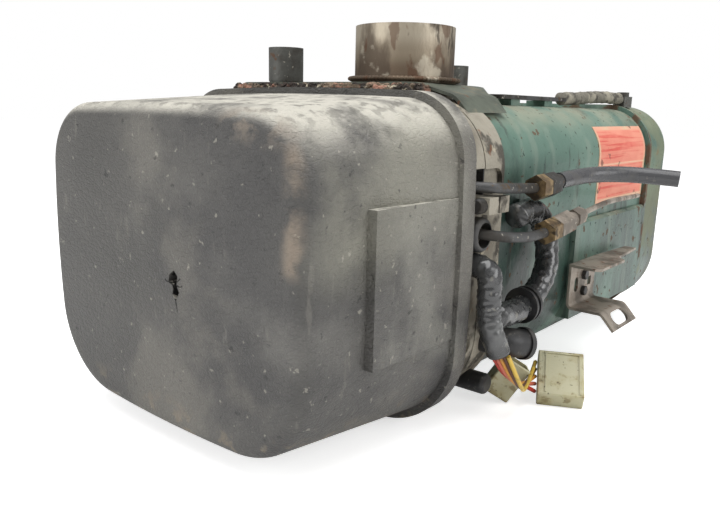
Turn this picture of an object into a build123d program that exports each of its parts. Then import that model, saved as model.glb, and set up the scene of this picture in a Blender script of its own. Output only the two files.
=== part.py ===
from build123d import *
import math
import os

# A diesel coolant heater lying along Y, with its burner hood at -Y and its rear cap at +Y. The floor is at
# Z 0. Places are given as X across, distance behind the hood's face station, and height above the axis.

# Stations along the heater, each length written once
axis_height = 106.0
crown_depth = 4.0
hood_depth = 117.7
lip_length = 13.5
lip_web = 3.0
seam_clearance = 0.3
rim_length = 29.0
plate_thickness = 7.0
gasket_thickness = 1.2
ring_length = 24.8
jacket_length = 282.0
cap_length = 62.0
cap_overlap = 4.0

# Hood
hood_face_width, hood_face_height = 231.0, 186.4
hood_root_width, hood_root_height = 246.5, 202.5
lip_width, lip_height = 253.2, 210.7
hood_drop = 0.4
hood_bow = 3.0
hood_wall = 3.0
hood_top_radius, hood_bottom_radius = 40.0, 56.0
face_edge_radius = 11.0
crown_radius = 1653.0
panel_face_x = 123.6
panel_front, panel_height, panel_up = 42.8, 83.9, 2.2

# Burner plate, ring, jacket and cap sections
rim_width, rim_height = 241.0, 199.0
rim_top_radius, rim_bottom_radius = 43.0, 56.0
rim_wall = 5.0
jacket_width, jacket_height = 232.0, 195.0
jacket_top_radius, jacket_bottom_radius = 40.0, 57.0
jacket_drop = 0.5
jacket_wall = 2.0
cap_wall = 2.75
cap_edge_radius = 18.0
cap_lip = 1.25
cap_lip_length = 4.0

# Heat exchanger and flame tube
vessel_radius, vessel_bore = 78.0, 62.0
vessel_length = 290.0
vessel_end = 16.0
fin_count, fin_thickness, fin_depth = 24, 2.0, 10.0
flame_tube_radius, flame_tube_wall, flame_tube_length = 48.0, 1.5, 228.0

# Burner
burner_bore = 33.0
burner_tube_radius, burner_tube_wall, burner_tube_length = 32.0, 2.0, 32.0
fan_housing_radius, fan_housing_length, fan_housing_wall = 62.0, 36.5, 2.5
impeller_radius, impeller_length = 54.0, 24.0
blade_count = 12
motor_radius, motor_length = 32.0, 66.0
shaft_radius = 4.0
running_clearance = 0.05
bearing_radius, bearing_length = 11.0, 7.0
pump_width, pump_length, pump_cover_length = 50.0, 22.0, 3.0
gear_tip_radius, gear_root_radius, gear_length = 8.8, 7.0, 8.0
gear_distance = 18.0
gear_teeth = 9

# Hinge
hinge_x = -133.0
knuckle_radius = 7.0
pin_radius = 4.0
knuckle_length = 23.0
knuckle_gap = 0.4

# Exhaust and coolant
exhaust_x, exhaust_along, exhaust_radius, exhaust_wall = 26.0, 193.0, 35.0, 2.0
exhaust_top = 148.0
coolant_radius, coolant_wall, coolant_top = 14.0, 1.5, 138.0
# Each stub is a little thinner below its shoulder, where it passes the sheet
neck_radius, outlet_shoulder, inlet_shoulder = 13.5, 112.0, 101.5
outlet_x, outlet_along = -93.0, 192.5
inlet_x, inlet_along = -88.0, 440.0
saddle_top, saddle_thickness = 110.0, 2.0
saddle_front, saddle_length = 157.0, 79.0
foam_bottom = 99.8

# Side rails and brackets
rail_depth, rail_wall = 4.5, 2.0
rail_front, rail_length = 297.0, 155.0
rail_top, rail_bottom = 10.0, -68.0
bracket_sheet = 2.0
bracket_front, bracket_length = 290.0, 49.0
bracket_reach = 160.0
slot_length, slot_width = 27.0, 11.0

# Pipes, nuts and cords
pipe_diameter = 6.5
nut_across_flats, nut_length = 14.5, 12.0
hose_diameter = 11.6
return_line_diameter = 4.0
harness_diameter = 14.0
branch_diameter = 15.0
wire_diameter = 2.8
plug_length, plug_width, plug_thickness = 31.0, 38.0, 14.0

os.makedirs("parts", exist_ok=True)

# Stations that follow from the lengths
rim_front = hood_depth + lip_web + seam_clearance
rim_rear = rim_front + rim_length
plate_front = rim_rear - plate_thickness
ring_front = rim_rear + gasket_thickness
ring_rear = ring_front + ring_length
jacket_rear = ring_rear + jacket_length
cap_front = jacket_rear - cap_overlap
cap_rear = cap_front + cap_length
face_y = -(crown_depth + cap_rear) / 2 + crown_depth
lip_rear = hood_depth + lip_length


def place(x, along, up):
    """Point given across, behind the hood's face and above the axis."""
    return (x, face_y + along, axis_height + up)


def across(along):
    """Plane across the heater. A positive extrude runs forward, and local Y is up."""
    return Plane(origin=place(0, along, 0), x_dir=(1, 0, 0), z_dir=(0, -1, 0))


def level(up):
    """Level plane at a height above the axis. Local X is across, local Y is behind the hood's face."""
    return Plane(origin=place(0, 0, up), x_dir=(1, 0, 0), z_dir=(0, 0, 1))


def upright(x):
    """Upright plane along the heater, facing +X. Local X is behind the hood's face, local Y is up."""
    return Plane(origin=place(x, 0, 0), x_dir=(0, 1, 0), z_dir=(1, 0, 0))


def round_corners(top_radius, bottom_radius):
    """Round the open sketch's two top corners and two bottom corners."""
    fillet(vertices().group_by(Axis.Y)[-1], top_radius)
    fillet(vertices().group_by(Axis.Y)[0], bottom_radius)


def bowed_outline(width, height, inset=0.0):
    """The hood's outline, its four sides slightly bowed, drawn in the open sketch."""
    half_width = width / 2 - inset
    half_height = height / 2 - inset
    side = half_width - hood_bow
    low, high = hood_bow - half_height - hood_drop, half_height - hood_bow - hood_drop
    corners = [(-side, low), (side, low), (side, high), (-side, high)]
    middles = [
        (0, low - hood_bow), (half_width, -hood_drop), (0, high + hood_bow), (-half_width, -hood_drop)]
    with BuildLine() as border:
        for index, middle in enumerate(middles):
            ThreePointArc(corners[index], middle, corners[(index + 1) % 4])
    make_face(border.edges())
    round_corners(hood_top_radius - inset, hood_bottom_radius - inset)


def rim_outline(inset=0.0):
    """The burner plate's, gasket's and ring's outline."""
    Rectangle(rim_width - 2 * inset, rim_height - 2 * inset)
    round_corners(rim_top_radius - inset, rim_bottom_radius - inset)


def jacket_outline(inset=0.0):
    """The jacket's outline, or the cap's, which lies outside it."""
    with Locations((0, -jacket_drop)):
        Rectangle(jacket_width - 2 * inset, jacket_height - 2 * inset)
    round_corners(jacket_top_radius - inset, jacket_bottom_radius - inset)


def taper(at_face, at_root, along):
    """A hood size at a station, between its face and its root."""
    return at_face + (at_root - at_face) * along / hood_depth


# Burner hood: a tapered moulded shell with a crowned face, a stepped lip and a raised side panel
cavity_front = hood_wall
cavity_rear = hood_depth + lip_web
with BuildPart() as hood_cavity:
    with BuildSketch(across(cavity_front)):
        bowed_outline(
            taper(hood_face_width, hood_root_width, cavity_front),
            taper(hood_face_height, hood_root_height, cavity_front), hood_wall)
    with BuildSketch(across(cavity_rear)):
        bowed_outline(
            taper(hood_face_width, hood_root_width, cavity_rear),
            taper(hood_face_height, hood_root_height, cavity_rear), hood_wall)
    loft(ruled=True)
    fillet(hood_cavity.faces().sort_by(Axis.Y)[0].edges(), face_edge_radius - hood_wall)

with BuildPart() as burner_hood:
    with BuildSketch(across(-crown_depth)):
        bowed_outline(
            taper(hood_face_width, hood_root_width, -crown_depth),
            taper(hood_face_height, hood_root_height, -crown_depth))
    with BuildSketch(across(hood_depth)):
        bowed_outline(hood_root_width, hood_root_height)
    loft(ruled=True)
    with Locations(place(0, crown_radius - crown_depth, 0)):
        Sphere(crown_radius, mode=Mode.INTERSECT)
    fillet(burner_hood.faces().sort_by(Axis.Y)[0].edges(), face_edge_radius)
    with BuildSketch(upright(panel_face_x)):
        with Locations(((panel_front + hood_depth) / 2, panel_up)):
            Rectangle(hood_depth - panel_front, panel_height)
    extrude(amount=-4 * hood_wall)
    with BuildSketch(across(lip_rear)):
        bowed_outline(lip_width, lip_height)
    extrude(amount=lip_length)
    with BuildSketch(across(lip_rear)):
        bowed_outline(lip_width, lip_height, hood_wall)
    extrude(amount=lip_length - lip_web, mode=Mode.SUBTRACT)
    add(hood_cavity.part, mode=Mode.SUBTRACT)
    # A torn hole in the face
    with BuildSketch(across(cavity_front + hood_wall)):
        with BuildLine():
            Polyline(
                (18, 2), (22, 5), (25, 2), (24, -3), (26, -7), (23, -12), (20, -9), (21, -4), (17, -2), close=True)
        make_face()
    extrude(amount=4 * hood_wall, mode=Mode.SUBTRACT)
burner_hood.part.label = "burner_hood"
export_step(burner_hood.part, "parts/burner_hood.step")

# Clip tab on the hood's lip
with BuildPart() as hood_clip:
    with BuildSketch(level(lip_height / 2 - hood_drop)):
        with Locations((30, lip_rear - 5)):
            RectangleRounded(18, 8, 2)
    extrude(amount=2)
hood_clip.part.label = "hood_clip"
export_step(hood_clip.part, "parts/hood_clip.step")

# Burner plate: a cast frame with a rim, a web, hinge knuckles and a clamp lug
lug_up = 38.0
return_along, return_up = 142.0, 20.5
block_left, block_right, block_low, block_high = 74.0, 100.0, 10.0, 62.0
with BuildPart() as burner_plate:
    with BuildSketch(across(rim_rear)):
        rim_outline()
    extrude(amount=rim_length)
    with BuildSketch(across(plate_front)):
        rim_outline(rim_wall)
    extrude(amount=rim_length - plate_thickness, mode=Mode.SUBTRACT)
    # Hinge arms and knuckles on the left
    for side in (-1, 1):
        knuckle_up = side * (knuckle_length + knuckle_gap)
        with BuildSketch(level(knuckle_up - knuckle_length / 2)):
            with Locations((hinge_x, rim_rear)):
                Circle(knuckle_radius)
            with Locations(((hinge_x - rim_width / 2) / 2, rim_rear - knuckle_radius / 2)):
                Rectangle(-hinge_x - rim_width / 2 + 2, knuckle_radius)
        extrude(amount=knuckle_length)
    with BuildSketch(level(-50)):
        with Locations((hinge_x, rim_rear)):
            Circle(pin_radius + running_clearance)
    extrude(amount=100, mode=Mode.SUBTRACT)
    # Clamp lug on the right
    with BuildSketch(upright(rim_width / 2 - 1)):
        with Locations((rim_rear - 6, lug_up)):
            Rectangle(11, 10)
    extrude(amount=12)
    with BuildSketch(across(rim_rear)):
        with Locations((rim_width / 2 + 5.5, lug_up)):
            Circle(2.5)
    extrude(amount=14, mode=Mode.SUBTRACT)
    # Supply slot, return hole, harness hole and intake port in the right wall
    with BuildSketch(upright(rim_width / 2 - rim_wall - 1)):
        with Locations((rim_rear - 7, 51)):
            Rectangle(26, 16)
    extrude(amount=rim_wall + 2, mode=Mode.SUBTRACT)
    with BuildSketch(upright(rim_width / 2 + 1)):
        with Locations((return_along, return_up)):
            Circle(pipe_diameter / 2 + 1.5)
    extrude(amount=-(rim_width / 2 + 1 - block_right), mode=Mode.SUBTRACT)
    with BuildSketch(upright(98)):
        with Locations((139, -52)):
            Circle(6.5)
    extrude(amount=30, mode=Mode.SUBTRACT)
    # Burner bore and bolt holes
    with BuildSketch(across(rim_rear)):
        Circle(burner_bore)
        with PolarLocations(46, 6):
            Circle(3)
    extrude(amount=plate_thickness, mode=Mode.SUBTRACT)
burner_plate.part.label = "burner_plate"
export_step(burner_plate.part, "parts/burner_plate.step")

# Captive clamp screw in its lug
with BuildPart() as clamp_screw:
    with BuildSketch(across(rim_rear)):
        with Locations((rim_width / 2 + 5.5, lug_up)):
            Circle(2.5)
    extrude(amount=11.5)
    with BuildSketch(across(rim_rear - 11.5)):
        with Locations((rim_width / 2 + 5.5, lug_up)):
            Circle(4.6)
    extrude(amount=6)
    chamfer(clamp_screw.faces().sort_by(Axis.Y)[0].edges(), 1)
clamp_screw.part.label = "clamp_screw"
export_step(clamp_screw.part, "parts/clamp_screw.step")

# Joint gasket between the plate and the ring
gasket_bore = vessel_radius
with BuildPart() as joint_gasket:
    with BuildSketch(across(ring_front)):
        rim_outline(1.0)
        Circle(gasket_bore, mode=Mode.SUBTRACT)
    extrude(amount=gasket_thickness)
joint_gasket.part.label = "joint_gasket"
export_step(joint_gasket.part, "parts/joint_gasket.step")

# Front ring: a cast frame that holds the vessel's mouth and the middle hinge knuckle
ring_plate = 8.0
with BuildPart() as front_ring:
    with BuildSketch(across(ring_rear)):
        rim_outline()
    extrude(amount=ring_length)
    with BuildSketch(across(ring_rear)):
        rim_outline(rim_wall + 1)
    extrude(amount=ring_length - ring_plate, mode=Mode.SUBTRACT)
    with BuildSketch(across(ring_rear)):
        Circle(vessel_radius)
    extrude(amount=ring_length, mode=Mode.SUBTRACT)
    with BuildSketch(level(-knuckle_length / 2)):
        with Locations((hinge_x, rim_rear)):
            Circle(knuckle_radius)
        with Locations(((hinge_x - rim_width / 2) / 2, ring_front + knuckle_radius / 2)):
            Rectangle(-hinge_x - rim_width / 2 + 2, knuckle_radius)
    extrude(amount=knuckle_length)
    with BuildSketch(level(-knuckle_length)):
        with Locations((hinge_x, rim_rear)):
            Circle(pin_radius)
    extrude(amount=2 * knuckle_length, mode=Mode.SUBTRACT)
    # Clamp lug and the supply pipe's slot on the right
    with BuildSketch(upright(rim_width / 2 - 1)):
        with Locations((ring_front + 6, lug_up)):
            Rectangle(11, 10)
    extrude(amount=12)
    with BuildSketch(upright(rim_width / 2 - 3)):
        with Locations((ring_front + 7, 51)):
            SlotOverall(28, 15)
    extrude(amount=6, mode=Mode.SUBTRACT)
    fillet(front_ring.faces().filter_by(Axis.Y).sort_by(Axis.Y)[-1].outer_wire().edges(), 2)
    with BuildSketch(level(0)):
        with Locations((exhaust_x, exhaust_along)):
            Circle(exhaust_radius + seam_clearance)
    extrude(amount=rim_height, mode=Mode.SUBTRACT)
front_ring.part.label = "front_ring"
export_step(front_ring.part, "parts/front_ring.step")

# Hinge pin
pin_length = 3 * knuckle_length + 2 * knuckle_gap
with BuildPart() as hinge_pin:
    with BuildSketch(level(-pin_length / 2)):
        with Locations((hinge_x, rim_rear)):
            Circle(pin_radius)
    extrude(amount=pin_length)
    with BuildSketch(level(pin_length / 2 + knuckle_gap)):
        with Locations((hinge_x, rim_rear)):
            Circle(pin_radius + 2)
    extrude(amount=3)
    with BuildSketch(level(pin_length / 2)):
        with Locations((hinge_x, rim_rear)):
            Circle(pin_radius)
    extrude(amount=knuckle_gap)
hinge_pin.part.label = "hinge_pin"
export_step(hinge_pin.part, "parts/hinge_pin.step")

# Heater jacket: the green water shell, with round holes for its stubs and a square recess
with BuildPart() as heater_jacket:
    with BuildSketch(across(jacket_rear)):
        jacket_outline()
    extrude(amount=jacket_length)
    with BuildSketch(across(jacket_rear)):
        jacket_outline(jacket_wall)
    extrude(amount=jacket_length, mode=Mode.SUBTRACT)
    with BuildSketch(level(0)):
        with Locations((exhaust_x, exhaust_along)):
            Circle(exhaust_radius)
        with Locations((outlet_x, outlet_along), (inlet_x, inlet_along)):
            Circle(neck_radius)
    extrude(amount=jacket_height, mode=Mode.SUBTRACT)
    with BuildSketch(upright(jacket_width / 2 - 1)):
        with Locations((202, 31)):
            Rectangle(9, 9)
    extrude(amount=2, mode=Mode.SUBTRACT)
heater_jacket.part.label = "heater_jacket"
export_step(heater_jacket.part, "parts/heater_jacket.step")

# Rear end cap over the jacket's end
with BuildPart() as rear_end_cap:
    with BuildSketch(across(cap_rear)):
        jacket_outline(-cap_wall)
    extrude(amount=cap_length)
    fillet(rear_end_cap.faces().sort_by(Axis.Y)[-1].edges(), cap_edge_radius)
    with BuildSketch(across(cap_front + cap_lip_length)):
        jacket_outline(-cap_wall - cap_lip)
    extrude(amount=cap_lip_length)
    with BuildSketch(across(jacket_rear)):
        jacket_outline()
    extrude(amount=cap_overlap, mode=Mode.SUBTRACT)
    with BuildSketch(across(cap_rear - cap_edge_radius)):
        jacket_outline(jacket_wall)
    extrude(amount=cap_length - cap_overlap - cap_edge_radius, mode=Mode.SUBTRACT)
    with BuildSketch(across(cap_rear - cap_wall)):
        jacket_outline(cap_edge_radius)
    extrude(amount=cap_edge_radius - cap_wall, mode=Mode.SUBTRACT)
rear_end_cap.part.label = "rear_end_cap"
export_step(rear_end_cap.part, "parts/rear_end_cap.step")

# Exchanger vessel: a finned cup whose mouth sits in the front ring
vessel_front = ring_front
fin_front = exhaust_along + exhaust_radius
with BuildPart() as exchanger_vessel:
    with BuildSketch(across(vessel_front + vessel_length)):
        Circle(vessel_radius)
    extrude(amount=vessel_length)
    with BuildSketch(across(vessel_front + vessel_length - vessel_end)):
        Circle(vessel_bore)
        with PolarLocations(vessel_bore - fin_depth / 2, fin_count):
            Rectangle(fin_depth + 1, fin_thickness, mode=Mode.SUBTRACT)
    extrude(amount=vessel_front + vessel_length - vessel_end - fin_front, mode=Mode.SUBTRACT)
    with BuildSketch(across(fin_front)):
        Circle(vessel_bore)
    extrude(amount=fin_front - vessel_front, mode=Mode.SUBTRACT)
    with BuildSketch(level(0)):
        with Locations((exhaust_x, exhaust_along)):
            Circle(exhaust_radius - exhaust_wall - 8)
    extrude(amount=vessel_radius + 1, mode=Mode.SUBTRACT)
exchanger_vessel.part.label = "exchanger_vessel"
export_step(exchanger_vessel.part, "parts/exchanger_vessel.step")

# Flame tube, held by a collar in the vessel's mouth
flame_front = vessel_front + 8
with BuildPart() as flame_tube:
    with BuildSketch(across(flame_front + flame_tube_length)):
        Circle(flame_tube_radius)
        Circle(flame_tube_radius - flame_tube_wall, mode=Mode.SUBTRACT)
    extrude(amount=flame_tube_length)
    with BuildSketch(across(flame_front + 3)):
        Circle(vessel_bore)
        Circle(flame_tube_radius - flame_tube_wall, mode=Mode.SUBTRACT)
    extrude(amount=3)
flame_tube.part.label = "flame_tube"
export_step(flame_tube.part, "parts/flame_tube.step")

# Exhaust stub standing on the vessel
with BuildPart() as exhaust_stub:
    with BuildSketch(level(0)):
        with Locations((exhaust_x, exhaust_along)):
            Circle(exhaust_radius)
    extrude(amount=exhaust_top)
    with BuildSketch(level(saddle_top)):
        with Locations((exhaust_x, exhaust_along)):
            Circle(exhaust_radius + 2.5)
    extrude(amount=3.5)
    fillet(exhaust_stub.edges().filter_by(GeomType.CIRCLE).group_by(SortBy.RADIUS)[-1], 1.2)
    with BuildSketch(level(0)):
        with Locations((exhaust_x, exhaust_along)):
            Circle(exhaust_radius - exhaust_wall)
    extrude(amount=exhaust_top, mode=Mode.SUBTRACT)
    with BuildSketch(across(exhaust_along + 2 * exhaust_radius)):
        Circle(vessel_radius)
    extrude(amount=4 * exhaust_radius, mode=Mode.SUBTRACT)
exhaust_stub.part.label = "exhaust_stub"
export_step(exhaust_stub.part, "parts/exhaust_stub.step")

# Coolant stubs through the jacket's top
stub_depth = 75.0
with BuildPart() as coolant_outlet:
    with BuildSketch(level(stub_depth)):
        with Locations((outlet_x, outlet_along)):
            Circle(neck_radius)
            Circle(coolant_radius - coolant_wall, mode=Mode.SUBTRACT)
    extrude(amount=outlet_shoulder - stub_depth)
    with BuildSketch(level(outlet_shoulder)):
        with Locations((outlet_x, outlet_along)):
            Circle(coolant_radius)
            Circle(coolant_radius - coolant_wall, mode=Mode.SUBTRACT)
    extrude(amount=coolant_top - outlet_shoulder)
coolant_outlet.part.label = "coolant_outlet"
export_step(coolant_outlet.part, "parts/coolant_outlet.step")

with BuildPart() as coolant_inlet:
    with BuildSketch(level(stub_depth)):
        with Locations((inlet_x, inlet_along)):
            Circle(neck_radius)
            Circle(coolant_radius - coolant_wall, mode=Mode.SUBTRACT)
    extrude(amount=inlet_shoulder - stub_depth)
    with BuildSketch(level(inlet_shoulder)):
        with Locations((inlet_x, inlet_along)):
            Circle(coolant_radius)
            Circle(coolant_radius - coolant_wall, mode=Mode.SUBTRACT)
    extrude(amount=coolant_top - inlet_shoulder)
coolant_inlet.part.label = "coolant_inlet"
export_step(coolant_inlet.part, "parts/coolant_inlet.step")

# Exhaust saddle: a pressed plate arched over the jacket, with its feet on the jacket's corners
saddle_rear = saddle_front + saddle_length
with BuildPart() as exhaust_saddle:
    with BuildSketch(across(saddle_rear)):
        with BuildLine():
            path = FilletPolyline(
                (-115, 76), (-110, saddle_top), (62, saddle_top), (92, 102), (106, 88), radius=[12, 40, 14])
            offset(path, saddle_thickness, side=Side.RIGHT)
        make_face()
    extrude(amount=saddle_length)
    with BuildSketch(across(saddle_rear)):
        rim_outline()
    extrude(amount=saddle_length, mode=Mode.SUBTRACT)
    with BuildSketch(level(0)):
        with Locations((exhaust_x, exhaust_along)):
            Circle(exhaust_radius)
        with Locations((outlet_x, outlet_along)):
            Circle(neck_radius)
    extrude(amount=saddle_top + 1, mode=Mode.SUBTRACT)
    # The right flank is cut back in a curve behind the exhaust
    with BuildSketch(level(0)):
        with BuildLine():
            Polyline(
                (66, saddle_rear + 1), (66, saddle_rear), (84, saddle_rear - 24), (128, saddle_rear - 38),
                (128, saddle_rear + 1), close=True)
        make_face()
    extrude(amount=saddle_top + 1, mode=Mode.SUBTRACT)
exhaust_saddle.part.label = "exhaust_saddle"
export_step(exhaust_saddle.part, "parts/exhaust_saddle.step")

# Foam seal on the ring, in front of the saddle
with BuildPart() as foam_seal:
    with BuildSketch(level(foam_bottom)):
        with BuildLine():
            Polyline(
                (-100, saddle_front), (-98, 141), (-72, 136), (-40, 139), (-12, 134.5), (20, 138), (48, 135),
                (66, 139), (74, saddle_front), close=True)
        make_face()
    extrude(amount=7)
    chamfer(foam_seal.faces().sort_by(Axis.Z)[-1].edges(), 1.2)
foam_seal.part.label = "foam_seal"
export_step(foam_seal.part, "parts/foam_seal.step")

# Side rails: shallow pressed boxes, open towards the jacket, whose lower flange turns back to it
rail_outer = jacket_width / 2 + rail_depth
with BuildPart() as side_rail_right:
    with BuildSketch(across(rail_front + rail_length)):
        with Locations((rail_outer - 9, (rail_top + rail_bottom) / 2)):
            Rectangle(18, rail_top - rail_bottom)
        chamfer(vertices().sort_by(Axis.Y)[-2:].sort_by(Axis.X)[-1], 2)
    extrude(amount=rail_length)
    with BuildSketch(across(rail_front + rail_length)):
        jacket_outline()
    extrude(amount=rail_length, mode=Mode.SUBTRACT)
    with BuildSketch(across(rail_front + rail_length - rail_wall)):
        with Locations((rail_outer - rail_wall - 10, (rail_top + rail_bottom) / 2)):
            Rectangle(20, rail_top - rail_bottom - 2 * rail_wall)
    extrude(amount=rail_length - 2 * rail_wall, mode=Mode.SUBTRACT)
side_rail_right.part.label = "side_rail_right"
export_step(side_rail_right.part, "parts/side_rail_right.step")

with BuildPart() as side_rail_left:
    mirror(side_rail_right.part, about=Plane.YZ)
side_rail_left.part.label = "side_rail_left"
export_step(side_rail_left.part, "parts/side_rail_left.step")

# Mounting brackets: a back plate, a level top tab and a slotted lower tab bent down at its end
bracket_back = rail_outer
bend_x, bend_up, tip_up = 149.0, -56.0, -68.0
tab_up, strip_length = -24.0, 110.0
slot_along = bracket_front + bracket_length / 2
with BuildPart() as mount_bracket_right:
    with BuildSketch(across(bracket_front + bracket_length)):
        with BuildLine():
            edge = FilletPolyline(
                (bracket_back + bracket_sheet, tab_up), (bracket_back + bracket_sheet, bend_up), (bend_x, bend_up),
                (bracket_reach, tip_up), radius=[3, 6])
            offset(edge, bracket_sheet, side=Side.RIGHT)
        make_face()
    extrude(amount=bracket_length)
    with BuildSketch(level(tab_up)):
        with BuildLine():
            Polyline(
                (bracket_back, bracket_front), (142, bracket_front - 3), (146, bracket_front),
                (146, bracket_front + bracket_length), (138, bracket_front + bracket_length + 8),
                (134, bracket_front + strip_length), (bracket_back + 4, bracket_front + strip_length),
                (bracket_back, bracket_front + bracket_length), close=True)
        make_face()
    extrude(amount=bracket_sheet)
    slot_plane = Plane(
        origin=place((bend_x + bracket_reach) / 2, slot_along, (bend_up + tip_up) / 2), x_dir=(0, 1, 0),
        z_dir=(bend_up - tip_up, 0, bracket_reach - bend_x))
    with BuildSketch(slot_plane):
        SlotOverall(slot_length, slot_width)
    extrude(amount=8, both=True, mode=Mode.SUBTRACT)
    with BuildSketch(upright(bracket_back)):
        with Locations((bracket_front + 38, -41)):
            Rectangle(7, 7)
        with Locations((bracket_front + 12, -40)):
            SlotOverall(12, 7, rotation=90)
    extrude(amount=bracket_sheet, mode=Mode.SUBTRACT)
mount_bracket_right.part.label = "mount_bracket_right"
export_step(mount_bracket_right.part, "parts/mount_bracket_right.step")

with BuildPart() as mount_bracket_left:
    mirror(mount_bracket_right.part, about=Plane.YZ)
mount_bracket_left.part.label = "mount_bracket_left"
export_step(mount_bracket_left.part, "parts/mount_bracket_left.step")

# Hexagon bolts on both brackets' back plates
with BuildPart() as bracket_bolts:
    with BuildSketch(upright(bracket_back + bracket_sheet)):
        with Locations((bracket_front + 25, -34), (bracket_front + 25, -47)):
            RegularPolygon(4, 6)
    extrude(amount=3.2)
    mirror(about=Plane.YZ)
bracket_bolts.part.label = "bracket_bolts"
export_step(bracket_bolts.part, "parts/bracket_bolts.step")

# Sensor rail on two clips along the jacket's top, and the sleeved lead that runs on from it
jacket_top = jacket_height / 2 - jacket_drop
sensor_x, sensor_rail_width, sensor_rail_up = 75.0, 12.0, 101.5
sensor_rail_front, sensor_rail_rear = 238.0, 349.0
with BuildPart() as sensor_rail:
    with BuildSketch(level(sensor_rail_up)):
        with Locations((sensor_x, (sensor_rail_front + sensor_rail_rear) / 2)):
            RectangleRounded(sensor_rail_width, sensor_rail_rear - sensor_rail_front, 2)
    extrude(amount=3)
sensor_rail.part.label = "sensor_rail"
export_step(sensor_rail.part, "parts/sensor_rail.step")

with BuildPart() as rail_clips:
    with BuildSketch(level(sensor_rail_up - 8)):
        with Locations((sensor_x - 4, 262), (sensor_x - 4, 318)):
            Rectangle(16, 14)
    extrude(amount=8)
    with BuildSketch(across(jacket_rear)):
        jacket_outline()
    extrude(amount=jacket_length, mode=Mode.SUBTRACT)
rail_clips.part.label = "rail_clips"
export_step(rail_clips.part, "parts/rail_clips.step")


def route_radii(points):
    """Arc radius at each inner point: 0.45 of its shorter run over the tangent of half the turn."""
    radii = []
    for before, point, after in zip(points, points[1:], points[2:]):
        entering, leaving = Vector(point) - Vector(before), Vector(after) - Vector(point)
        half_turn = math.radians(entering.get_angle(leaving) / 2)
        radii.append(0.45 * min(entering.length, leaving.length) / math.tan(half_turn))
    return radii


def tube(points, radii, diameter):
    """Sweep a round bar along straight runs and tangent arcs into the open part."""
    with BuildLine() as route:
        FilletPolyline(*points, radius=radii)
    path = route.wires()[0]
    with BuildSketch(Plane(origin=path @ 0, z_dir=path % 0)) as section:
        Circle(diameter / 2)
    sweep(section.sketch, path=path)
    return path.length


def cord(name, points, diameter):
    """Sweep a cord's plain tube into the open part and print its length and radii."""
    radii = route_radii(points)
    length = tube(points, radii, diameter)
    print(name, "length", round(length, 1), "radii", [round(radius, 1) for radius in radii])


lead_route = [
    place(75, 349.2, 104), place(75, 378, 104.5), place(76, 408, 106.5), place(79, 438, 107.5), place(82, 463, 106.5)]
with BuildPart() as sensor_lead:
    cord("sensor_lead", lead_route, 10)
sensor_lead.part.label = "sensor_lead"
export_step(sensor_lead.part, "parts/sensor_lead.step")

# Temperature sensor standing on the rear cap
cap_top = jacket_top + cap_wall
with BuildPart() as temperature_sensor:
    with BuildSketch(level(cap_top - 1)):
        with Locations((83, 472)):
            RegularPolygon(9, 6)
    extrude(amount=10)
    with BuildSketch(level(cap_top + 9)):
        with Locations((83, 472)):
            Circle(5.5)
    extrude(amount=4)
    with BuildSketch(across(cap_rear)):
        jacket_outline(-cap_wall)
    extrude(amount=cap_length - cap_lip_length, mode=Mode.SUBTRACT)
temperature_sensor.part.label = "temperature_sensor"
export_step(temperature_sensor.part, "parts/temperature_sensor.step")

# Feet under the ring and the jacket
foot_width = 60.0
with BuildPart() as support_feet:
    with BuildSketch(level(-axis_height)):
        with Locations((0, ring_front + 12)):
            RectangleRounded(2 * foot_width, 22, 4)
    extrude(amount=axis_height - rim_height / 2)
    with BuildSketch(level(-axis_height)):
        with Locations((0, cap_front - 18)):
            RectangleRounded(2 * foot_width, 22, 4)
    extrude(amount=axis_height - jacket_height / 2 - jacket_drop)
support_feet.part.label = "support_feet"
export_step(support_feet.part, "parts/support_feet.step")

# Plain label wrapped round the jacket's upper right corner
label_front, label_length, label_bottom, label_top, label_thickness = 341.0, 110.0, 20.0, 82.0, 0.4
with BuildPart() as data_plate:
    with BuildSketch(across(label_front + label_length)):
        jacket_outline(-label_thickness)
        with Locations((jacket_width / 2, (label_bottom + label_top) / 2)):
            Rectangle(jacket_width / 2, label_top - label_bottom, mode=Mode.INTERSECT)
    extrude(amount=label_length)
    with BuildSketch(across(label_front + label_length)):
        jacket_outline()
    extrude(amount=label_length, mode=Mode.SUBTRACT)
data_plate.part.label = "data_plate"
export_step(data_plate.part, "parts/data_plate.step")

# Fan housing: a cup on the burner plate round the impeller
housing_front = plate_front - fan_housing_length
with BuildPart() as fan_housing:
    with BuildSketch(across(plate_front)):
        Circle(fan_housing_radius)
    extrude(amount=fan_housing_length)
    with BuildSketch(across(plate_front)):
        Circle(fan_housing_radius - fan_housing_wall)
    extrude(amount=fan_housing_length - fan_housing_wall, mode=Mode.SUBTRACT)
    with BuildSketch(across(plate_front)):
        Circle(shaft_radius + 4)
        with PolarLocations(45, 6):
            Circle(6)
    extrude(amount=fan_housing_length, mode=Mode.SUBTRACT)
fan_housing.part.label = "fan_housing"
export_step(fan_housing.part, "parts/fan_housing.step")

# Drive motor with a bore for its bearings and shaft
motor_rear = housing_front
motor_front = motor_rear - motor_length
with BuildPart() as drive_motor:
    with BuildSketch(across(motor_rear)):
        Circle(motor_radius)
    extrude(amount=motor_length)
    chamfer(drive_motor.faces().sort_by(Axis.Y)[0].edges(), 3)
    with BuildSketch(across(motor_rear)):
        Circle(bearing_radius)
    extrude(amount=motor_length, mode=Mode.SUBTRACT)
drive_motor.part.label = "drive_motor"
export_step(drive_motor.part, "parts/drive_motor.step")

with BuildPart() as motor_bearings:
    with BuildSketch(across(motor_rear), across(motor_front + bearing_length)):
        Circle(bearing_radius)
        Circle(shaft_radius + running_clearance, mode=Mode.SUBTRACT)
    extrude(amount=bearing_length)
motor_bearings.part.label = "motor_bearings"
export_step(motor_bearings.part, "parts/motor_bearings.step")

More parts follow.
